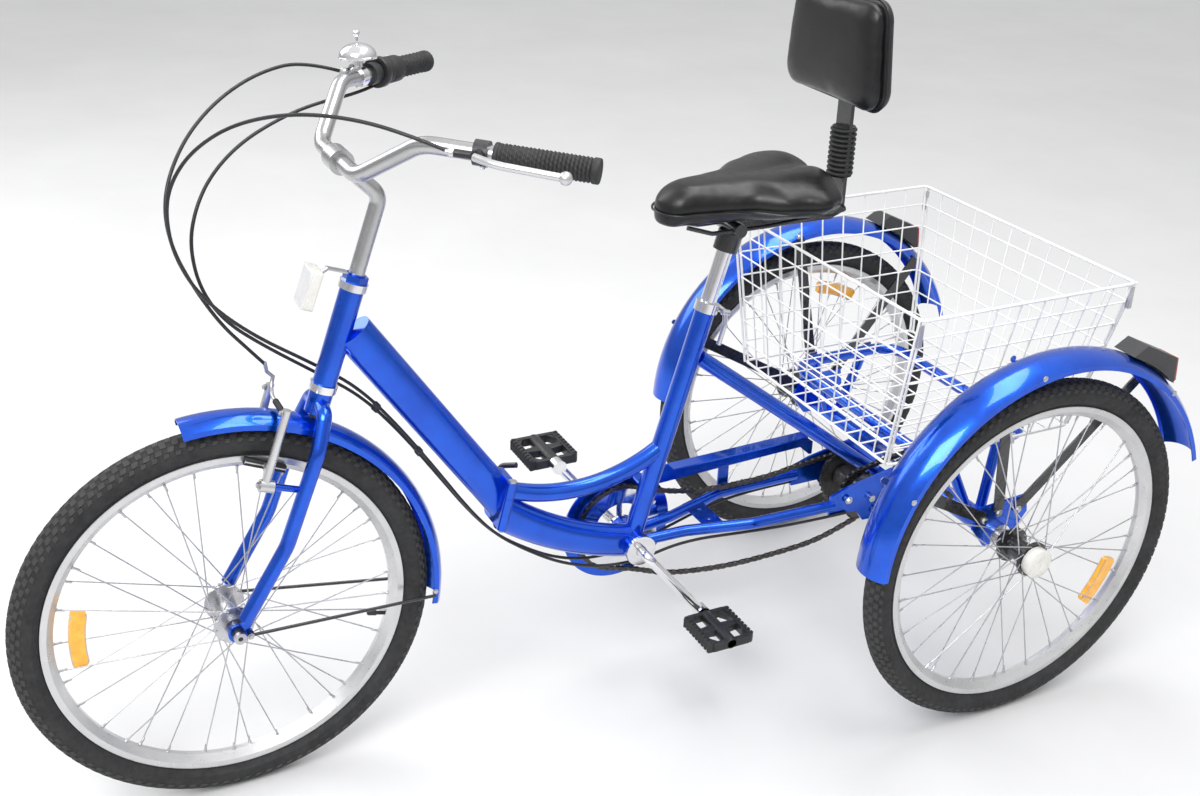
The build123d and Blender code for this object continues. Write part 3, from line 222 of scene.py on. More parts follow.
class Shape:
    """Vertices and faces in millimetres."""

    def __init__(self):
        self.verts, self.faces = [], []

    def add(self, verts, faces):
        base = len(self.verts)
        self.verts += [Vector(v) for v in verts]
        self.faces += [[base + i for i in face] for face in faces]

    def hull(self, low, high):
        """A closed prism between two outlines with the same number of points."""
        n = len(low)
        faces = [list(range(n))[::-1], list(range(n, 2 * n))]
        faces += [[i, (i + 1) % n, n + (i + 1) % n, n + i] for i in range(n)]
        self.add(list(low) + list(high), faces)

    def plate(self, outline, x_low, x_high):
        self.hull([place(x_low, *p) for p in outline], [place(x_high, *p) for p in outline])

    def lathe(self, origin, axis, profile, steps=48, swell=None, start=0.0):
        """Turns (along, radius) points about an axis; swell(along, radius, angle) changes the radius."""
        axis = Vector(axis).normalized()
        across = axis.orthogonal().normalized()
        up = axis.cross(across)
        verts = []
        for along, radius in profile:
            for k in range(steps):
                angle = start + 2 * pi * k / steps
                r = swell(along, radius, angle) if swell else radius
                verts.append(Vector(origin) + axis * along + (across * cos(angle) + up * sin(angle)) * r)
        faces = []
        for j in range(len(profile) - 1):
            for k in range(steps):
                a, b = j * steps + k, j * steps + (k + 1) % steps
                faces.append([a, b, b + steps, a + steps])
        faces.append(list(range(steps))[::-1])
        last = (len(profile) - 1) * steps
        faces.append(list(range(last, last + steps)))
        self.add(verts, faces)

    def tube(self, points, radius, sides=10):
        points = [Vector(p) for p in points]
        runs = [(b - a).normalized() for a, b in zip(points, points[1:])]
        tangents = [runs[0]] + [(a + b).normalized() for a, b in zip(runs, runs[1:])] + [runs[-1]]
        normal = tangents[0].orthogonal().normalized()
        verts = []
        for point, tangent in zip(points, tangents):
            normal = (normal - tangent * normal.dot(tangent)).normalized()
            side = tangent.cross(normal)
            for k in range(sides):
                angle = 2 * pi * k / sides
                verts.append(point + (normal * cos(angle) + side * sin(angle)) * radius)
        faces = []
        for j in range(len(points) - 1):
            for k in range(sides):
                a, b = j * sides + k, j * sides + (k + 1) % sides
                faces.append([a, b, b + sides, a + sides])
        faces.append(list(range(sides))[::-1])
        last = (len(points) - 1) * sides
        faces.append(list(range(last, last + sides)))
        self.add(verts, faces)

    def piece(self, name, body, mat, slot, stands_for=(), sharp=38, bevel=0.0):
        mesh = bpy.data.meshes.new(name)
        mesh.from_pydata([v / 1000 for v in self.verts], [], self.faces)
        mesh.validate()
        mesh.shade_smooth()
        mesh.set_sharp_from_angle(angle=radians(sharp))
        mesh.materials.append(mat)
        obj = bpy.data.objects.new(name, mesh)
        bpy.context.collection.objects.link(obj)
        if bevel:
            edge = obj.modifiers.new("edge", "BEVEL")
            edge.width = bevel / 1000
            edge.segments = 2
            edge.limit_method = "ANGLE"
        if body:
            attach(obj, body)
        if stands_for:
            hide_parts(*stands_for)
        return obj


def bolt(shape, at, axis, radius, height, steps=6):
    """A bolt head: a washer, a hexagon and a small domed end."""
    axis = Vector(axis).normalized()
    shape.lathe(at, axis, [(0, radius * 1.35), (0.8, radius * 1.35), (0.85, radius * 1.3)], 20)
    shape.lathe(at, axis, [(0.6, radius), (height * 0.8, radius), (height, radius * 0.8)], steps)


# Tyres: a moulded casing with side ribs and staggered knobs ------------------------------------

wheels = (
    ("front", 0, front_centre, "front_wheel", 165),
    ("left", track / 2, rear_centre, "left_wheel", -40),
    ("right", -track / 2, rear_centre, "right_wheel", 60),
)
core = wheel_radius - 22
for wheel, x, centre, body, reflector_at in wheels:
    tyre = Shape()
    hub_at = place(x, *centre)

    def rim_point(side, radius, angle):
        at = on_circle(centre, radius, angle)
        return place(x + side, *at)

    profile = [(-10.0, 259.7), (-12.5, 262.0)]
    for step in range(31):
        turn = radians(-52 + step * (284 / 30))
        bulge = 21.0 if step in (3, 27) else 20.2
        profile.append((-cos(turn) * bulge, core + sin(turn) * bulge))
    profile += [(12.5, 262.0), (10.0, 259.7)]
    around = 120
    verts = [rim_point(side, radius, 360 * k / around) for k in range(around) for side, radius in profile]
    count = len(profile)
    faces = []
    for k in range(around):
        for j in range(count):
            a, b = k * count + j, k * count + (j + 1) % count
            c, d = ((k + 1) % around) * count + (j + 1) % count, ((k + 1) % around) * count + j
            faces.append([a, b, c, d])
    tyre.add(verts, faces)
    knobs = 110
    rows = ((0, 0.0, 9.0, 0.5), (24, 0.5, 8.0, 0.56), (-24, 0.5, 8.0, 0.56), (46, 0.0, 7.5, 0.62), (-46, 0.0, 7.5, 0.62),
            (66, 0.5, 6.0, 0.5), (-66, 0.5, 6.0, 0.5))
    for lean, phase, wide, share in rows:
        for k in range(knobs):
            middle = 360 * (k + phase) / knobs
            half_turn = 180 / knobs * share
            half_lean = degrees(wide / 2 / 21)
            low, high = [], []
            for da, dl in ((-1, -1), (1, -1), (1, 1), (-1, 1)):
                for ring, radius, shrink in ((low, 19.6, 1.15), (high, 21.9, 0.85)):
                    tilt = radians(lean + dl * half_lean * shrink)
                    angle = middle + da * half_turn * shrink + (dl * 0.25 if abs(lean) > 30 else 0)
                    ring.append(rim_point(sin(tilt) * radius, core + cos(tilt) * radius, angle))
            tyre.hull(low, high)
    tyre.piece(f"{wheel}_tyre_tread", body, tyre_rubber, "tyre", (f"{wheel}_tyre",), sharp=30)

    # Spoke reflector with eased ends, between the spokes
    amber = Shape()
    valve = Shape()
    sections = []
    steps = 28
    for step in range(steps + 1):
        angle = reflector_at - 0.9 + 23.8 * step / steps
        end = min(step, steps - step)
        grow = 1 if end > 1 else (0.8, 0.95)[end]
        half = 11.7 * grow
        ring = []
        for side, out in ((-5.4, -0.8), (-5.4, 0.8), (-3.6, 1.0), (3.6, 1.0), (5.4, 0.8), (5.4, -0.8), (3.6, -1.0), (-3.6, -1.0)):
            ring.append(rim_point(side, 209.5 + out * half, angle))
        sections.append(ring)
    verts = [p for ring in sections for p in ring]
    faces = [list(range(8))[::-1], list(range(8 * steps, 8 * steps + 8))]
    for step in range(steps):
        for k in range(8):
            a, b = step * 8 + k, step * 8 + (k + 1) % 8
            faces.append([a, b, b + 8, a + 8])
    amber.add(verts, faces)
    amber.piece(f"{wheel}_spoke_reflector", body, amber_lens, "lens", sharp=30)
    # Valve with its cap, and the nipples that seat the spokes
    valve_angle = reflector_at + 180
    inner = rim_point(0, 241, valve_angle)
    inward = (hub_at - inner).normalized()
    valve.lathe(inner, inward, [(-1, 3), (14, 3), (15, 4.2), (27, 4.2), (29, 3)], 14)
    valve.piece(f"{wheel}_valve_cap", body, soft_rubber, "rubber")
    nipples = Shape()
    for side_sign in (-1, 1):
        for face_sign in (-1, 1):
            for index in range(9):
                turn = index * 40 + side_sign * 5 + (20 if face_sign > 0 else 0) + face_sign * 58
                foot = rim_point(side_sign * 3, 240.2, turn)
                aim = (hub_at + Vector((side_sign * 20, 0, 0)) - foot).normalized()
                nipples.lathe(foot, aim, [(-0.5, 2.6), (1.5, 2.4), (2, 1.9), (11, 1.7), (11.5, 1.3)], 8)
    nipples.piece(f"{wheel}_spoke_nipples", body, steel, "steel")
    # Rolled rim edges
    hoops = Shape()
    for side in (-12.7, 12.7):
        hoops.tube([rim_point(side, 258.6, 360 * k / 96) for k in range(97)], 0.95, 8)
    hoops.piece(f"{wheel}_rim_edge", body, alloy, "aluminium")

# Rear hub caps and front axle caps
for sign, name in ((1, "left"), (-1, "right")):
    dome = Shape()
    start = sign * (track / 2 + 28.1)
    dome.lathe(place(start, *rear_centre), (sign, 0, 0),
               [(-0.4, 24.3), (0, 24.6), (12, 24.6), (14.2, 24.2), (15.6, 21.5), (16.8, 16), (17.4, 9), (17.6, 1)], 40)
    dome.piece(f"{name}_hub_cap", "left_wheel", ivory, "white_paint")
caps = Shape()
for sign in (-1, 1):
    caps.lathe(place(sign * 56.2, *front_centre), (sign, 0, 0),
               [(0, 9.6), (5, 9.6), (11, 8.6), (13.4, 6), (14.2, 1)], 24)
caps.piece("front_axle_caps", "steering", plastic, "black_plastic")

# Chains, link by link ---------------------------------------------------------------------------

def wrap(centre, radius, start, end, steps):
    return [on_circle(centre, radius, start + (end - start) * k / steps) for k in range(steps + 1)]


def loop_points(outline, pitch):
    """Even points along a smooth closed line through the outline."""
    dense = []
    n = len(outline)
    for i in range(n):
        p0, p1, p2, p3 = (Vector(outline[(i + k - 1) % n]) for k in range(4))
        for s in range(8):
            t = s / 8
            dense.append(0.5 * (2 * p1 + (p2 - p0) * t + (2 * p0 - 5 * p1 + 4 * p2 - p3) * t * t
                                + (3 * p1 - p0 - 3 * p2 + p3) * t ** 3))
    dense.append(dense[0])
    lengths = [0.0]
    for a, b in zip(dense, dense[1:]):
        lengths.append(lengths[-1] + (b - a).length)
    links = 2 * round(lengths[-1] / pitch / 2)
    out, j = [], 0
    for k in range(links):
        want = lengths[-1] * k / links
        while lengths[j + 1] < want:
            j += 1
        share = (want - lengths[j]) / (lengths[j + 1] - lengths[j])
        out.append(dense[j].lerp(dense[j + 1], share))
    return out


def chain(name, outline, x, node):
    pins = loop_points(outline, 12.7)
    links = Shape()
    n = len(pins)
    for k in range(n):
        a, b = pins[k], pins[(k + 1) % n]
        run = (b - a).normalized()
        across = Vector((-run.y, run.x))
        reach, high, waist = 3.2, 3.9, 2.9
        outline = []
        for end, flip in ((a, -1), (b, 1)):
            for turn in (-90, -45, 0, 45, 90):
                angle = radians(turn)
                outline.append(end + run * flip * cos(angle) * high * 0.95 + across * sin(angle) * high * flip)
            outline.append((a + b) / 2 + across * waist * flip)
        near = 2.6 if k % 2 else 1.7
        for side in (-1, 1):
            low, top = sorted((side * near, side * (near + 0.9)))
            links.plate([tuple(p) for p in outline], x + low, x + top)
        links.lathe(place(x - 1.6, *a), (1, 0, 0), [(0, 3.6), (3.2, 3.6)], 10)
        links.lathe(place(x - 3.5, *a), (1, 0, 0), [(0, 1.6), (7.0, 1.6)], 8)
    return links.piece(name, "rear_body", dark_steel, "dark_steel", (node,), sharp=30)


line = wrap(bb, 76.9, 75, 250, 12)
line += [(-505, 179), (-432, 153), (-323, 138), (-212, 138), (-126, 146)]
line += wrap((-52, 188), 18, -72, 81, 8) + wrap((-100, 232), 18, 261, 106, 8) + wrap(jack, 32.6, -74, 95, 10)
line += [(-179, 311), (-228, 304), (-282, 301), (-362, 303), (-440, 316)]
chain("primary_chain_links", line, -42, "primary_chain")
lean = degrees(atan2(rear_centre[1] - jack[1], rear_centre[0] - jack[0]))
line = wrap(jack, 36.6, lean + 90, lean + 270, 12) + wrap(rear_centre, 36.6, lean - 90, lean + 90, 12)
chain("axle_chain_links", line, 30, "axle_chain")


def toothed(shape, centre, x, half, inner, root, tip, teeth):
    outline = []
    for k in range(teeth):
        for share, radius in ((-0.5, root), (-0.28, root), (-0.1, tip), (0.1, tip), (0.28, root)):
            outline.append(on_circle(centre, radius, 360 * (k + share) / teeth))
    hole = [on_circle(centre, inner, degrees(atan2(p[1] - centre[1], p[0] - centre[0]))) for p in outline]
    n = len(outline)
    verts = [place(x + side, *p) for side in (-half, half) for ring in (outline, hole) for p in ring]
    faces = []
    for k in range(n):
        m = (k + 1) % n
        faces += [[k, m, n + m, n + k], [2 * n + m, 2 * n + k, 3 * n + k, 3 * n + m],
                  [m, k, 2 * n + k, 2 * n + m], [n + k, n + m, 3 * n + m, 3 * n + k]]
    shape.add(verts, faces)


teeth = Shape()
toothed(teeth, bb, -42, 1.1, 66, 72.6, 75.6, 38)
for k in range(5):
    bolt(teeth, place(-44.2, *on_circle(bb, 52, 20 + 72 * k)), (-1, 0, 0), 4, 3)
teeth.piece("chainring_teeth", "crankset", chrome, "chrome", sharp=25)
cogs = Shape()
for gear in range(7):
    radius = 32.6 - 4.5 + (gear - 2) * 4
    toothed(cogs, jack, -42 + (gear - 2) * 4.6, 1.0, radius - 6, radius, radius + 2.6, round(2 * pi * (radius + 4) / 12.7))
cogs.piece("freewheel_teeth", "freewheel", dark_steel, "dark_steel", sharp=25)
for centre, body, name in ((jack, "jackshaft", "jackshaft"), (rear_centre, "left_wheel", "axle")):
    ring = Shape()
    toothed(ring, centre, 30, 1.1, 26, 32.2, 35.0, 18)
    ring.piece(f"{name}_sprocket_teeth", body, dark_steel, "dark_steel", sharp=25)

# Wire basket ------------------------------------------------------------------------------------

def basket_half(z):
    share = (z - 440) / 272
    return 215 + share * 53 - 1.6, -200 + share * -13 + 1.6, 170 + share * 36 - 1.6


wires = Shape()
for z in (708, 676, 637, 596, 556, 517, 478, 442):
    half, low, high = basket_half(z)
    corner = 10
    loop = []
    for sx, sy in ((1, -1), (1, 1), (-1, 1), (-1, -1)):
        cx, cy = sx * (half - corner), (low + corner if sy < 0 else high - corner)
        start = {(1, -1): -90, (1, 1): 0, (-1, 1): 90, (-1, -1): 180}[(sx, sy)]
        for k in range(5):
            angle = radians(start + 22.5 * k)
            loop.append(place(cx + corner * cos(angle), cy + corner * sin(angle), z))
    loop.append(loop[0])
    wires.tube(loop, 2.6 if z in (708, 442) else 1.5, 8)
top_half, top_low, top_high = basket_half(709)
foot_half, foot_low, foot_high = basket_half(441)
across = 11
for k in range(1, across):
    share = -1 + 2 * k / across
    front_top = place(share * top_half, top_low, 709)
    front_foot = place(share * foot_half, foot_low, 441)
    back_foot = place(share * foot_half, foot_high, 441)
    back_top = place(share * top_half, top_high, 709)
    lift = Vector((0, 0, 1.4))
    wires.tube([front_top, front_foot + lift * 2, front_foot + lift + Vector((0, 4, 0)),
                back_foot + lift - Vector((0, 4, 0)), back_foot + lift * 2, back_top], 1.5, 8)
deep = 9
for k in range(1, deep):
    share = k / deep
    y_top = top_low + share * (top_high - top_low)
    y_foot = foot_low + share * (foot_high - foot_low)
    left_top, left_foot = place(top_half, y_top, 709), place(foot_half, y_foot, 441)
    right_top, right_foot = place(-top_half, y_top, 709), place(-foot_half, y_foot, 441)
    wires.tube([left_top, left_foot + Vector((0, 0, 3)), left_foot + Vector((-4, 0, 0)),
                right_foot + Vector((4, 0, 0)), right_foot + Vector((0, 0, 3)), right_top], 1.5, 8)
for sx in (-1, 1):
    for top_y, foot_y in ((top_low, foot_low), (top_high, foot_high)):
        for shift in (-3.5, 3.5):
            wires.tube([place(sx * (top_half - 4), top_y + shift, 708), place(sx * (foot_half - 4), foot_y + shift, 442)], 2.2, 8)
wires.piece("basket_wires", "rear_body", white, "white_paint", ("basket",), sharp=60)
latches = Shape()
for sx in (-1, 1):
    half = basket_half(690)[0]
    for y in (top_low + 2, top_high - 2):
        latches.plate([(y - 4, 664), (y + 4, 664), (y + 4, 700), (y - 4, 700)], *sorted((sx * (half - 6), sx * (half + 1))))
latches.piece("basket_corner_latches", "rear_body", steel, "steel", bevel=0.8)

# Grips, shifter, levers and bell ----------------------------------------------------------------

def grip_axis(sign):
    return (on_grip(sign, 10) - on_grip(sign, 0)).normalized()


def ringed(low, high, step, radius, depth):
    """A profile with a rounded ridge every step."""
    out = []
    count = int((high - low) / step * 6)
    for k in range(count + 1):
        along = low + (high - low) * k / count
        out.append((along, radius - depth * (0.5 + 0.5 * cos(2 * pi * (along - low) / step)) ** 2))
    return out


for sign, name, high in ((1, "left", 126), (-1, "right", 78)):
    grip = Shape()

    def knob(along, radius, angle):
        pattern = sin(14 * angle) * (1 if int(along / 5) % 2 else -1)
        return radius + (0.55 * pattern if 8 < along < high - 8 else 0)

    body_profile = [(-4, 10), (-4, 15.2), (-2.5, 16), (4, 16), (5, 15)]
    body_profile += ringed(6, high - 6, 5, 15.4, 1.5)
    body_profile += [(high - 5, 15.6), (high - 4, 16), (high - 1, 16), (high, 15), (high, 11.3)]
    grip.lathe(on_grip(sign, 0), grip_axis(sign), body_profile, 56, knob)
    grip.piece(f"{name}_grip_rubber", "steering", soft_rubber, "rubber", ("grips",), sharp=50)
shifter = Shape()
shifter.lathe(on_grip(-1, 0), grip_axis(-1),
              [(79, 12), (79, 18), (80.5, 19.2), (104, 19.6), (106, 18.4), (108, 20), (117, 20), (118, 19), (118, 12)], 72,
              lambda along, radius, angle: radius - (0.9 if sin(18 * angle) < -0.2 and 81 < along < 104 else 0))
shifter.piece("twist_grip_shell", "twist_shifter", soft_rubber, "rubber", ("twist_shifter",), sharp=45)
window = Shape()
window.lathe(on_grip(-1, 0), grip_axis(-1), [(118.6, 19), (119, 21.6), (120, 22.4), (130, 22.4), (131, 21.6), (131.4, 19)], 48)
window.piece("shifter_housing_band", "steering", plastic, "black_plastic", sharp=40)

bell_axis = (on_grip(-1, 172, 10, 90) - on_grip(-1, 172)).normalized()
bell_foot = on_grip(-1, 172) + bell_axis * 13
bell = Shape()
profile = [(11, 8), (11.4, 26), (12, 27.6), (13, 28), (14.5, 28), (15.2, 27.2)]
profile += [(15.2 + 19 * sin(radians(a)), 27.0 * cos(radians(a))) for a in range(8, 88, 8)] + [(34.3, 0.8)]
bell.lathe(bell_foot, bell_axis, profile, 56)
bell.lathe(bell_foot, bell_axis, [(-1, 6), (12, 6), (12.5, 5)], 20)
bell.lathe(on_grip(-1, 172) - grip_axis(-1) * 7, grip_axis(-1),
           [(0, 11.4), (0, 13.6), (1, 14.6), (13, 14.6), (14, 13.6), (14, 11.4)], 40)
bell.piece("bell_dome", "steering", chrome, "chrome", ("bell",), sharp=35)

# Brake lever brackets: clamp bolts and barrel adjusters
hardware = Shape()
for sign in (-1, 1):
    start = on_grip(sign, 169, 26, 12)
    line_axis = (on_grip(sign, 172, 26, 12) - start).normalized()
    hardware.lathe(start, line_axis, [(0, 5.4), (1, 6), (6, 6), (7, 4.6), (8, 4.6), (8.5, 3.6), (11, 3.4), (11.4, 2.6)], 18,
                   lambda along, radius, angle: radius + (0.35 * sin(9 * angle) if along < 6.5 else 0))
    bolt(hardware, on_grip(sign, 138, 16.2, -60), on_grip(sign, 138, 20, -60) - on_grip(sign, 138, 16, -60), 3, 3)
hardware.piece("lever_barrel_adjusters", "steering", alloy, "aluminium", sharp=35)

# Front brake: pads, noodle and boot -------------------------------------------------------------
pads = Shape()
for sign in (-1, 1):
    low, high = [], []
    for along, up in ((-31, 4.5), (31, -4.5)):
        for dx, dz in ((-4.9, -5.8), (4.9, -5.8), (4.9, 5.8), (-4.9, 5.8)):
            at = steered(sign * 20 + dx, -58 + along, -124 + dz + (2 if along < 0 else -3))
            (low if along < 0 else high).append(at)
    one = Shape()
    one.hull(low, high)
    one.piece(f"{'left' if sign > 0 else 'right'}_brake_pad", f"brake_arm_{'left' if sign > 0 else 'right'}", soft_rubber,
              "rubber", bevel=2.2)
    face = Shape()
    bolt(face, steered(sign * 43, -66.4, -146), steered(0, -1, 0) - steered(0, 0, 0), 4.4, 4)
    bolt(face, steered(sign * 45, -64.2, -36), steered(0, -1, 0) - steered(0, 0, 0), 3.4, 4)
    face.piece(f"{'left' if sign > 0 else 'right'}_brake_arm_bolts", f"brake_arm_{'left' if sign > 0 else 'right'}", steel, "steel")
noodle = Shape()
bend = [place(-43, -1099, 667), place(-43.2, -1097, 652)]
for k in range(9):
    angle = radians(180 + 11.25 * k)
    bend.append(steered(-18 + 25 * cos(angle), -58, -18 + 22 * sin(angle)))
noodle.tube(bend + [steered(-8, -58, -40)], 2.9, 12)
noodle.piece("brake_noodle", "brake_arm_right", steel, "steel")
boot = Shape()
boot.lathe(steered(-8, -58, -40), (1, 0, 0), ringed(0, 42, 4.2, 4.6, 1.3) + [(43, 2.2)], 20)
boot.piece("brake_boot", "brake_arm_left", soft_rubber, "rubber", sharp=60)

# Reflectors -------------------------------------------------------------------------------------
lens_at = place(0, -1042, 786)
facing = Vector((0, -0.94, 0.34)).normalized()
upward = Vector((1, 0, 0)).cross(facing)
upward = -upward if upward.z < 0 else upward
lens = Shape()
border = Shape()
for shape, half_x, half_y, front, back in ((lens, 19.5, 25.5, 7.9, 3.0), (border, 22.3, 28.3, 7.2, -7.2)):
    outline = []
    for cx, cy, start in ((1, 1, 0), (-1, 1, 90), (-1, -1, 180), (1, -1, 270)):
        for k in range(5):
            angle = radians(start + 22.5 * k)
            outline.append((cx * (half_x - 5) + 5 * cos(angle), cy * (half_y - 5) + 5 * sin(angle)))
    rows = [[lens_at + Vector((u, 0, 0)) + upward * v + facing * depth for u, v in outline] for depth in (back, front)]
    shape.hull(*rows)
lens.piece("front_reflector_lens", "steering", clear_lens, "lens", bevel=0.8)
border.piece("front_reflector_rim", "steering", ivory, "lens", bevel=1.2)
for sign, name in ((1, "left"), (-1, "right")):
    tail = Shape()
    seat = 329 + 0.6
    low, high = Vector(on_circle(fender_centre, seat + 3, 48)), Vector(on_circle(fender_centre, seat + 30, 52.6))
    away = Vector((0.9, 0.35)) * 0.3
    grown = (high - low).normalized() * 0.4
    outline = [low - grown, high + grown, high + grown + away * 15, low - grown + away * 15]
    tail.plate([tuple(p) for p in outline], sign * track / 2 - 20.4, sign * track / 2 + 20.4)
    tail.piece(f"{name}_tail_lens", "rear_body", red_lens, "red_lens", bevel=0.9)

# Bolts that hold the fenders, their struts and the end plates -----------------------------------
for sign in (-1, 1):
    screws = Shape()
    for angle in (152, 102, 48):
        tip = on_circle(fender_centre, 329 - 10, angle)
        bolt(screws, place(sign * (track / 2 - 35 - 0.2), *tip), (-sign, 0, 0), 4, 3.4)
        bolt(screws, place(sign * (track / 2 + 35 + 0.1), *on_circle(fender_centre, 316, angle)), (sign, 0, 0), 3.4, 2.2, 16)
    for foot in ((-34, 338), (-6, 346), (34, 344)):
        bolt(screws, place(sign * 270.6, foot[0], foot[1] - 4), (sign, 0, 0), 5, 4)
    screws.piece(f"{'left' if sign > 0 else 'right'}_fender_screws", "rear_body", steel, "steel", sharp=30)
nuts = Shape()
for sign in (-1, 1):
    for at in ((-90, 256), (-150, 290), (-22, 316)):
        bolt(nuts, place(sign * 67.1, *at), (sign, 0, 0), 5.2, 4.6)
nuts.piece("plate_bolts", "rear_body", steel, "steel", sharp=30)
front_screws = Shape()
for sign in (-1, 1):
    bolt(front_screws, place(sign * 27.2, *on_circle(front_centre, 306, -5)), (sign, 0, 0), 3.4, 3)
    bolt(front_screws, place(sign * 63.1, -1187 + 16, 297), (sign, 0, 0), 3.6, 3)
front_screws.piece("front_stay_screws", "steering", steel, "steel", sharp=30)

# Pedals: serrated rails, side bars and ribs round two openings, on a spindle sleeve
for sign, name in ((1, "left"), (-1, "right")):
    centre = on_circle(bb, 160, -50.7 if sign > 0 else 129.3)
    low, high = (82, 172) if sign > 0 else (-172, -82)
    pedal = Shape()

    def slab(outline, half):
        pedal.hull([place(x, centre[0] + away, centre[1] - half) for x, away in outline],
                   [place(x, centre[0] + away, centre[1] + half) for x, away in outline])

    for flip in (-1, 1):
        edge = []
        for k in range(19):
            x = low + 2 + 86 * k / 18
            edge.append((x, flip * (43.6 if k % 2 else 38.5)))
        slab(edge + [(high - 2, flip * 31.5), (low + 2, flip * 31.5)], 8.5)
        for k in range(1, 18, 2):
            x = low + 2 + 86 * k / 18
            for up in (-1, 1):
                foot = [place(x + dx * 2.6, centre[0] + flip * 38 + dy * 4, centre[1] + up * 8) for dx, dy in ((-1, -1), (1, -1), (1, 1), (-1, 1))]
                crown = [place(x + dx * 1.3, centre[0] + flip * 38 + dy * 2.6, centre[1] + up * 11) for dx, dy in ((-1, -1), (1, -1), (1, 1), (-1, 1))]
                pedal.hull(foot, crown)
        slab([((low if flip < 0 else high - 8), -33), ((low if flip < 0 else high - 8), 33),
              ((low + 8 if flip < 0 else high), 33), ((low + 8 if flip < 0 else high), -33)], 7.5)
        middle = (low + high) / 2
        slab([(middle - 9, flip * 8), (middle + 9, flip * 8), (middle + 5, flip * 33), (middle - 5, flip * 33)], 6.5)
        slab([(low + 6, flip * 20), (low + 6, flip * 33), (low + 24, flip * 33)], 6.5)
        slab([(high - 6, flip * 20), (high - 6, flip * 33), (high - 24, flip * 33)], 6.5)
    pedal.lathe(place(low, *centre), (1, 0, 0), [(0, 8), (0.5, 9), (6, 11), (84, 11), (89.5, 9), (90, 8)], 24)
    pedal.piece(f"{name}_pedal_platform", f"{name}_pedal", plastic, "black_plastic", (f"pedal_{name}",), sharp=30, bevel=0.7)

# Black hub shells over the rear wheels' flanges
for wheel, x, centre, body, reflector_at in wheels[1:]:
    outward = 1 if x > 0 else -1
    sleeve = Shape()
    sleeve.lathe(place(x - outward * 39.8, *centre), (outward, 0, 0),
                 [(0, 14), (0, 18), (13.5, 18), (13.8, 26), (14.2, 29.6), (17.8, 29.6), (18.2, 26), (20, 18), (60, 18),
                  (61.6, 26), (62, 29.6), (65.6, 29.6), (66, 26), (66.4, 21), (67.6, 20), (67.6, 14)], 48)
    sleeve.piece(f"{wheel}_hub_shell", body, gloss_black, "black_paint", sharp=30)

# Seat: bellows, backrest and saddle ------------------------------------------------------------
bellows = Shape()
bellows.lathe(place(0, -193, 850), (0, 0, 1), [(0, 12), (0.2, 19)] + ringed(1, 77, 7.6, 20.8, 4.6) + [(77.8, 18), (78, 12)], 48)
bellows.piece("backrest_bellows_ribs", "seat", soft_rubber, "rubber", ("backrest_bellows",), sharp=60)


def swell(obj, voxel, pressure, cap, smooth=2):
    """Remeshes a closed shape and lets cloth pressure fill it out, no point moving more than cap."""
    remesh = obj.modifiers.new("even", "REMESH")
    remesh.mode = "VOXEL"
    remesh.voxel_size = voxel / 1000
    graph = bpy.context.evaluated_depsgraph_get()
    mesh = bpy.data.meshes.new_from_object(obj.evaluated_get(graph))
    obj.modifiers.clear()
    obj.data = mesh
    rest = [v.co.copy() for v in mesh.vertices]
    cloth = obj.modifiers.new("fill", "CLOTH")
    cloth.settings.quality = 4
    cloth.settings.mass = 0.3
    cloth.settings.use_pressure = True
    cloth.settings.uniform_pressure_force = pressure
    cloth.settings.effector_weights.gravity = 0
    cloth.settings.tension_stiffness = 25
    cloth.settings.compression_stiffness = 25
    cloth.settings.bending_stiffness = 2
    scene = bpy.context.scene
    for step in range(1, 21):
        scene.frame_set(step)
    graph = bpy.context.evaluated_depsgraph_get()
    moved = [v.co.copy() for v in obj.evaluated_get(graph).data.vertices]
    obj.modifiers.clear()
    scene.frame_set(1)
    for vertex, start, end in zip(mesh.vertices, rest, moved):
        shift = end - start
        far = shift.length * 1000
        if far > cap:
            shift *= cap / far
        vertex.co = start + shift
    mesh.shade_smooth()
    ease = obj.modifiers.new("ease", "SMOOTH")
    ease.iterations = smooth
    ease.factor = 0.5
    finer = obj.modifiers.new("finer", "SUBSURF")
    finer.levels = finer.render_levels = 1


plan = [(-518, 0), (-484, 46), (-440, 56), (-396, 70), (-340, 108), (-286, 129), (-262, 118), (-236, 0)]


def half_at(back):
    """The saddle's half width: rounded nose, waist, two broad lobes and a rounded tail."""
    for (b0, h0), (b1, h1) in zip(plan, plan[1:]):
        if b0 <= back <= b1:
            t = (back - b0) / (b1 - b0)
            if h0 == 0:
                return h1 * sqrt(1 - (1 - t) ** 2)
            if h1 == 0:
                return h0 * sqrt(1 - t ** 2)
            t = t * t * (3 - 2 * t)
            return h0 + (h1 - h0) * t
    return 0.5


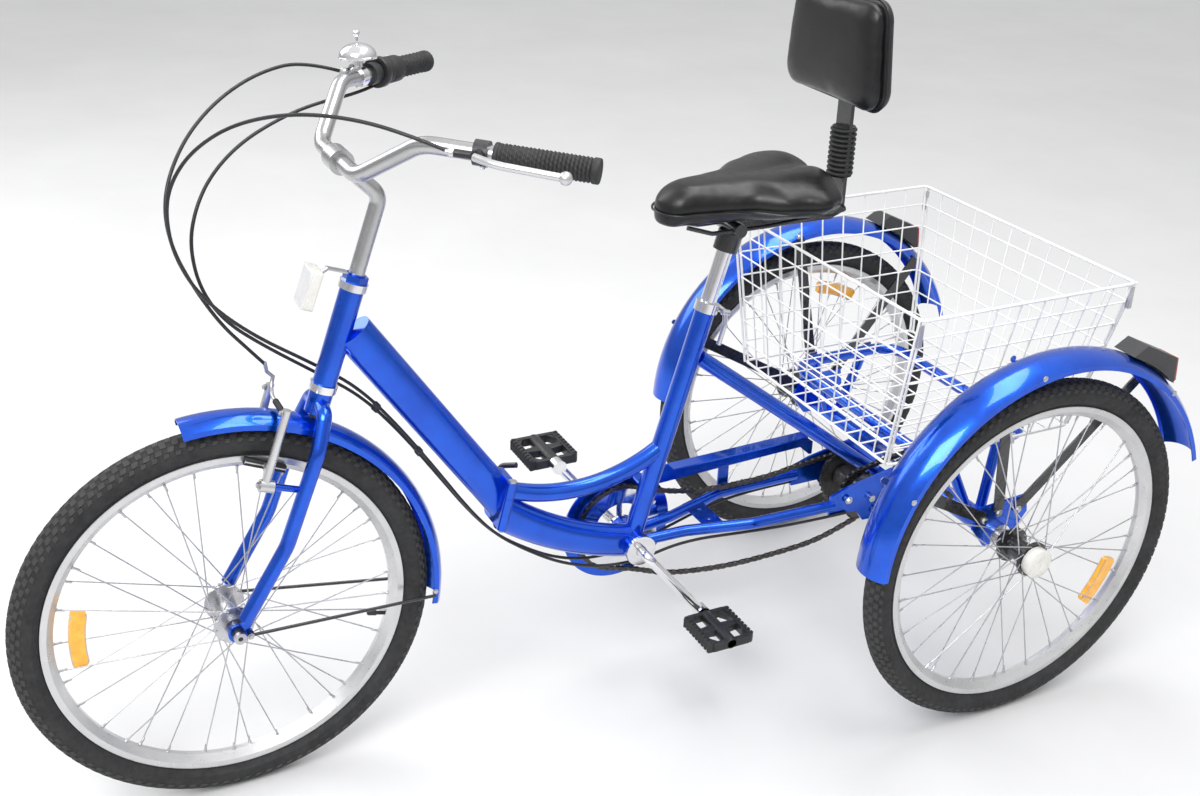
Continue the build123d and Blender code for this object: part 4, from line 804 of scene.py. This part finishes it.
saddle = Shape()
long_steps, cross = 56, 40
rings = []
for i in range(long_steps + 1):
    back = -517.6 + (281.2) * (0.5 - 0.5 * cos(pi * i / long_steps))
    share = (back + 518) / 282
    half = max(half_at(back) - 5, 1.2)
    top = 866 + 13 * share ** 1.4 - 22 * max(0, (0.18 - share) / 0.18) ** 2 - 14 * max(0, (share - 0.88) / 0.12) ** 2
    rim_drop = top - 30 + 8 * max(0, (0.18 - share) / 0.18)
    drop = 44
    ring = []
    for k in range(cross):
        angle = 2 * pi * k / cross
        c, s = cos(angle), sin(angle)
        u = abs(c) ** 0.75 * (1 if c >= 0 else -1)
        if s >= 0:
            lobe = 6 * max(0, share - 0.45) / 0.55 * (1 - cos(2 * pi * min(1, abs(u)))) * 0.5
            groove = -7 * max(0, share - 0.35) / 0.65 * max(0, 1 - abs(u) / 0.28) ** 2
            z = rim_drop + (top - rim_drop) * s ** 0.9 + lobe * s + groove * s
        else:
            z = rim_drop - drop * abs(s) ** 0.7 * 0.72
            u *= 1 - 0.22 * abs(s)
        ring.append(place(u * half, back, max(807.5, z)))
    rings.append(ring)
verts = [p for ring in rings for p in ring]
faces = [list(range(cross)), list(range(long_steps * cross, long_steps * cross + cross))[::-1]]
for i in range(long_steps):
    for k in range(cross):
        a, b = i * cross + k, i * cross + (k + 1) % cross
        faces.append([b, a, a + cross, b + cross])
saddle.add(verts, faces)
saddle_obj = saddle.piece("saddle_cover", None, vinyl, "vinyl", sharp=180)
swell(saddle_obj, 5.0, 4.0, 3.0, smooth=14)
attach(saddle_obj, "seat")
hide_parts("saddle")

# The saddle's piped edge
piping = Shape()
edge_line = []
for i in range(97):
    angle = 2 * pi * i / 96
    back = -377 + 139 * cos(angle)
    edge_line.append((back, (1 if sin(angle) >= 0 else -1) * max(0, half_at(back) - 6)))
piping.tube([place(x, back, 829 + 6 * (back + 518) / 282) for back, x in edge_line], 2.0, 8)
piping.piece("saddle_piping", "seat", vinyl, "vinyl")

pad = Shape()
outline = []
for cx, cz, start in ((1, 1, 0), (-1, 1, 90), (-1, -1, 180), (1, -1, 270)):
    for k in range(9):
        angle = radians(start + 11.25 * k)
        taper = 0 if cz < 0 else 12
        outline.append((cx * (125 - 34 - taper) + 32 * cos(angle), cz * (82.5 - 34) + 32 * sin(angle)))
levels = [(-213, 0.95), (-216, 0.985), (-224, 1.0), (-231, 0.97), (-236, 0.88), (-239, 0.7), (-240.5, 0.35), (-240.8, 0.05)]
middle_z = 972 + 82.5
verts = [place(u * grow, back, middle_z + v * grow) for back, grow in levels for u, v in outline]
n = len(outline)
faces = [list(range(n))[::-1], list(range((len(levels) - 1) * n, len(levels) * n))]
for j in range(len(levels) - 1):
    for k in range(n):
        a, b = j * n + k, j * n + (k + 1) % n
        faces.append([a, b, b + n, a + n])
pad.add(verts, faces)
pad_obj = pad.piece("backrest_cover", None, vinyl, "vinyl", sharp=180)
swell(pad_obj, 5.0, 4.0, 4.0, smooth=10)
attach(pad_obj, "seat")
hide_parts("backrest")
shell = Shape()
verts = [place(u * grow, back, middle_z + v * grow) for back, grow in
         ((-197, 0.80), (-199, 0.90), (-204, 0.965), (-210, 0.99), (-214, 0.985), (-216, 0.96)) for u, v in outline]
faces = [list(range(n)), list(range(5 * n, 6 * n))[::-1]]
for j in range(5):
    for k in range(n):
        a, b = j * n + k, j * n + (k + 1) % n
        faces.append([b, a, a + n, b + n])
shell.add(verts, faces)
shell.piece("backrest_shell", "seat", plastic, "black_plastic", sharp=50)
seam = Shape()
seam.tube([place(u * 0.995, -215, middle_z + v * 0.995) for u, v in outline + outline[:1]], 1.8, 8)
seam.piece("backrest_piping", "seat", vinyl, "vinyl")
rear_screws = Shape()
for z in (982, 996):
    bolt(rear_screws, place(0, -189.8, z), (0, 1, 0), 4, 3)
rear_screws.piece("backrest_screws", "seat", steel, "steel")

# Cables -----------------------------------------------------------------------------------------

def route(name, points):
    """The smooth line of a cable, read back from its spline."""
    data = bpy.data.curves.new(name, "CURVE")
    data.dimensions = "3D"
    data.resolution_u = 12
    spline = data.splines.new("NURBS")
    spline.points.add(len(points) - 1)
    for knot, at in zip(spline.points, points):
        knot.co = (*(at / 1000), 1)
    spline.order_u = 3
    spline.use_endpoint_u = True
    obj = bpy.data.objects.new(name, data)
    bpy.context.collection.objects.link(obj)
    graph = bpy.context.evaluated_depsgraph_get()
    mesh = bpy.data.meshes.new_from_object(obj.evaluated_get(graph))
    out = [v.co * 1000 for v in mesh.vertices]
    bpy.data.objects.remove(obj)
    bpy.data.meshes.remove(mesh)
    return out


def nearest(line, at):
    return min(range(len(line)), key=lambda k: (line[k] - at).length)


left_ferrule = on_grip(1, 172.8, 26, 12)
right_ferrule = on_grip(-1, 173.8, 26, 12)
front_line = route("front_brake_route", [
    right_ferrule, place(-216, -974, 1037), place(-188, -1042, 1033), place(-148, -1106, 1014),
    place(-102, -1160, 984), place(-66, -1196, 944), place(-48, -1212, 900), place(-40, -1208, 848),
    place(-40, -1184, 788), place(-42, -1153, 731), place(-43, -1120, 690), place(-43, -1099, 664),
])
cable = Shape()
cable.tube(front_line, 2.5, 12)
cable.piece("front_brake_housing", "steering", plastic, "black_plastic", ("front_brake_cable",))
rear_line = route("rear_brake_route", [
    left_ferrule, place(172, -960, 1034), place(120, -1012, 1044), place(65, -1070, 1041),
    place(15, -1128, 1020), place(-15, -1174, 984), place(-25, -1203, 943), place(-27, -1214, 900),
    place(-29, -1208, 841), place(-31, -1179, 779), place(-32, -1119, 717), place(-29, -1030, 656),
    place(-22, -972, 613), place(-9, -920, 548), place(-8, -866, 468), place(-8, -815, 388),
    place(-8, -770, 330), place(-2, -714, 288), place(8, -660, 258), place(16, -598, 240),
    place(20, -530, 237), place(26, -446, 259), place(54, -340, 266), place(65.2, -236, 266), place(65, -150, 265),
])
shift_line = route("shift_route", [
    on_grip(-1, 131.4, 19.5, -75), on_grip(-1, 172, 25, -75), place(-172, -966, 988), place(-148, -1022, 980),
    place(-112, -1092, 960), place(-82, -1142, 928), place(-63, -1170, 889), place(-53, -1183, 843),
    place(-46, -1176, 785), place(-42, -1148, 735), place(-38, -1100, 694), place(-36, -1030, 642),
    place(-30, -968, 597), place(-19, -914, 532), place(-18, -860, 452), place(-18, -808, 374),
    place(-18, -764, 322), place(-18, -708, 281), place(-18, -656, 252), place(-18, -598, 236),
    place(-20, -530, 237), place(-26, -446, 259), place(-54, -340, 266), place(-65.2, -236, 266), place(-65, -150, 265),
])
for name, line, node, x in (("rear_brake", rear_line, "rear_brake_cable", -10), ("shift", shift_line, "shift_cable", -20)):
    cut = nearest(line, place(x, -880, 490))
    upper = Shape()
    upper.tube(line[:cut + 1], 2.5, 12)
    obj = upper.piece(f"{name}_housing_upper", None, plastic, "black_plastic", (node,))
    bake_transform(obj)
    lower = Shape()
    lower.tube(line[cut:], 2.5, 12)
    obj = lower.piece(f"{name}_housing_lower", None, plastic, "black_plastic")
    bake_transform(obj)
clips = Shape()
for back in (-948, -890):
    for line in (rear_line, shift_line):
        k = min(range(len(line)), key=lambda i: abs(line[i].y - place(0, back, 0).y) + (500 if line[i].z > 700 else 0))
        along = (line[k + 1] - line[k - 1]).normalized()
        clips.lathe(line[k] - along * 5, along, [(0, 2.8), (0, 3.8), (0.8, 4.2), (9.2, 4.2), (10, 3.8), (10, 2.8)], 16)
clips.piece("cable_clips", "front_body", plastic, "black_plastic")

# Floor, light and camera ------------------------------------------------------------------------
floor_mesh = bpy.data.meshes.new("floor")
floor_mesh.from_pydata([(-14, -14, 0), (14, -14, 0), (14, 14, 0), (-14, 14, 0)], [], [[0, 1, 2, 3]])
floor = bpy.data.objects.new("floor", floor_mesh)
bpy.context.collection.objects.link(floor)
floor_mesh.materials.append(finish("pale_floor", (0.62, 0.62, 0.625), (0.66, 0.66, 0.665), (0.6, 0.75), spread=2, grain=60, bump=0.01))

world = bpy.data.worlds.new("studio")
bpy.context.scene.world = world
world.use_nodes = True
sky = world.node_tree
background = sky.nodes["Background"]
background.inputs["Strength"].default_value = 0.95
sky_coords = sky.nodes.new("ShaderNodeTexCoord")
parts = sky.nodes.new("ShaderNodeSeparateXYZ")
band = sky.nodes.new("ShaderNodeValToRGB")
band.color_ramp.elements[0].position = 0.0
band.color_ramp.elements[0].color = (0.44, 0.44, 0.45, 1)
band.color_ramp.elements[1].position = 0.75
band.color_ramp.elements[1].color = (1.0, 1.0, 1.0, 1)
sky.links.new(sky_coords.outputs["Generated"], parts.inputs["Vector"])
sky.links.new(parts.outputs["Z"], band.inputs["Fac"])
sky.links.new(band.outputs["Color"], background.inputs["Color"])


def soft_light(name, at, aim, size, power):
    data = bpy.data.lights.new(name, "AREA")
    data.shape = "RECTANGLE"
    data.size, data.size_y = size
    data.energy = power
    lamp = bpy.data.objects.new(name, data)
    lamp.location = at
    lamp.rotation_euler = (Vector(aim) - Vector(at)).to_track_quat("-Z", "Y").to_euler()
    bpy.context.collection.objects.link(lamp)


soft_light("key", (2.2, -2.4, 3.6), (0, 0, 0.5), (2.6, 1.8), 135)
soft_light("fill", (-2.8, -1.8, 2.6), (0, 0, 0.5), (2.4, 2.4), 50)
soft_light("top", (0.2, 0.8, 3.8), (0, 0, 0.4), (3.2, 1.2), 70)

azimuth, elevation, roll = radians(63.03), radians(25.74), radians(1.97)
behind = Vector((sin(azimuth) * cos(elevation), -cos(azimuth) * cos(elevation), sin(elevation)))
right = (-behind).cross(Vector((0, 0, 1))).normalized()
up = right.cross(-behind)
image_right = right * cos(roll) + up * sin(roll)
image_up = up * cos(roll) - right * sin(roll)
lens_data = bpy.data.cameras.new("camera")
lens_data.lens = 43.284
lens_data.sensor_width = 36
lens_data.shift_y = -0.0035
camera = bpy.data.objects.new("camera", lens_data)
turned = Matrix((image_right, image_up, behind)).transposed().to_4x4()
turned.translation = Vector((1.7820, -0.92429, 1.5087))
camera.matrix_world = turned
bpy.context.collection.objects.link(camera)
bpy.context.scene.camera = camera
bpy.context.scene.view_settings.view_transform = "Standard"
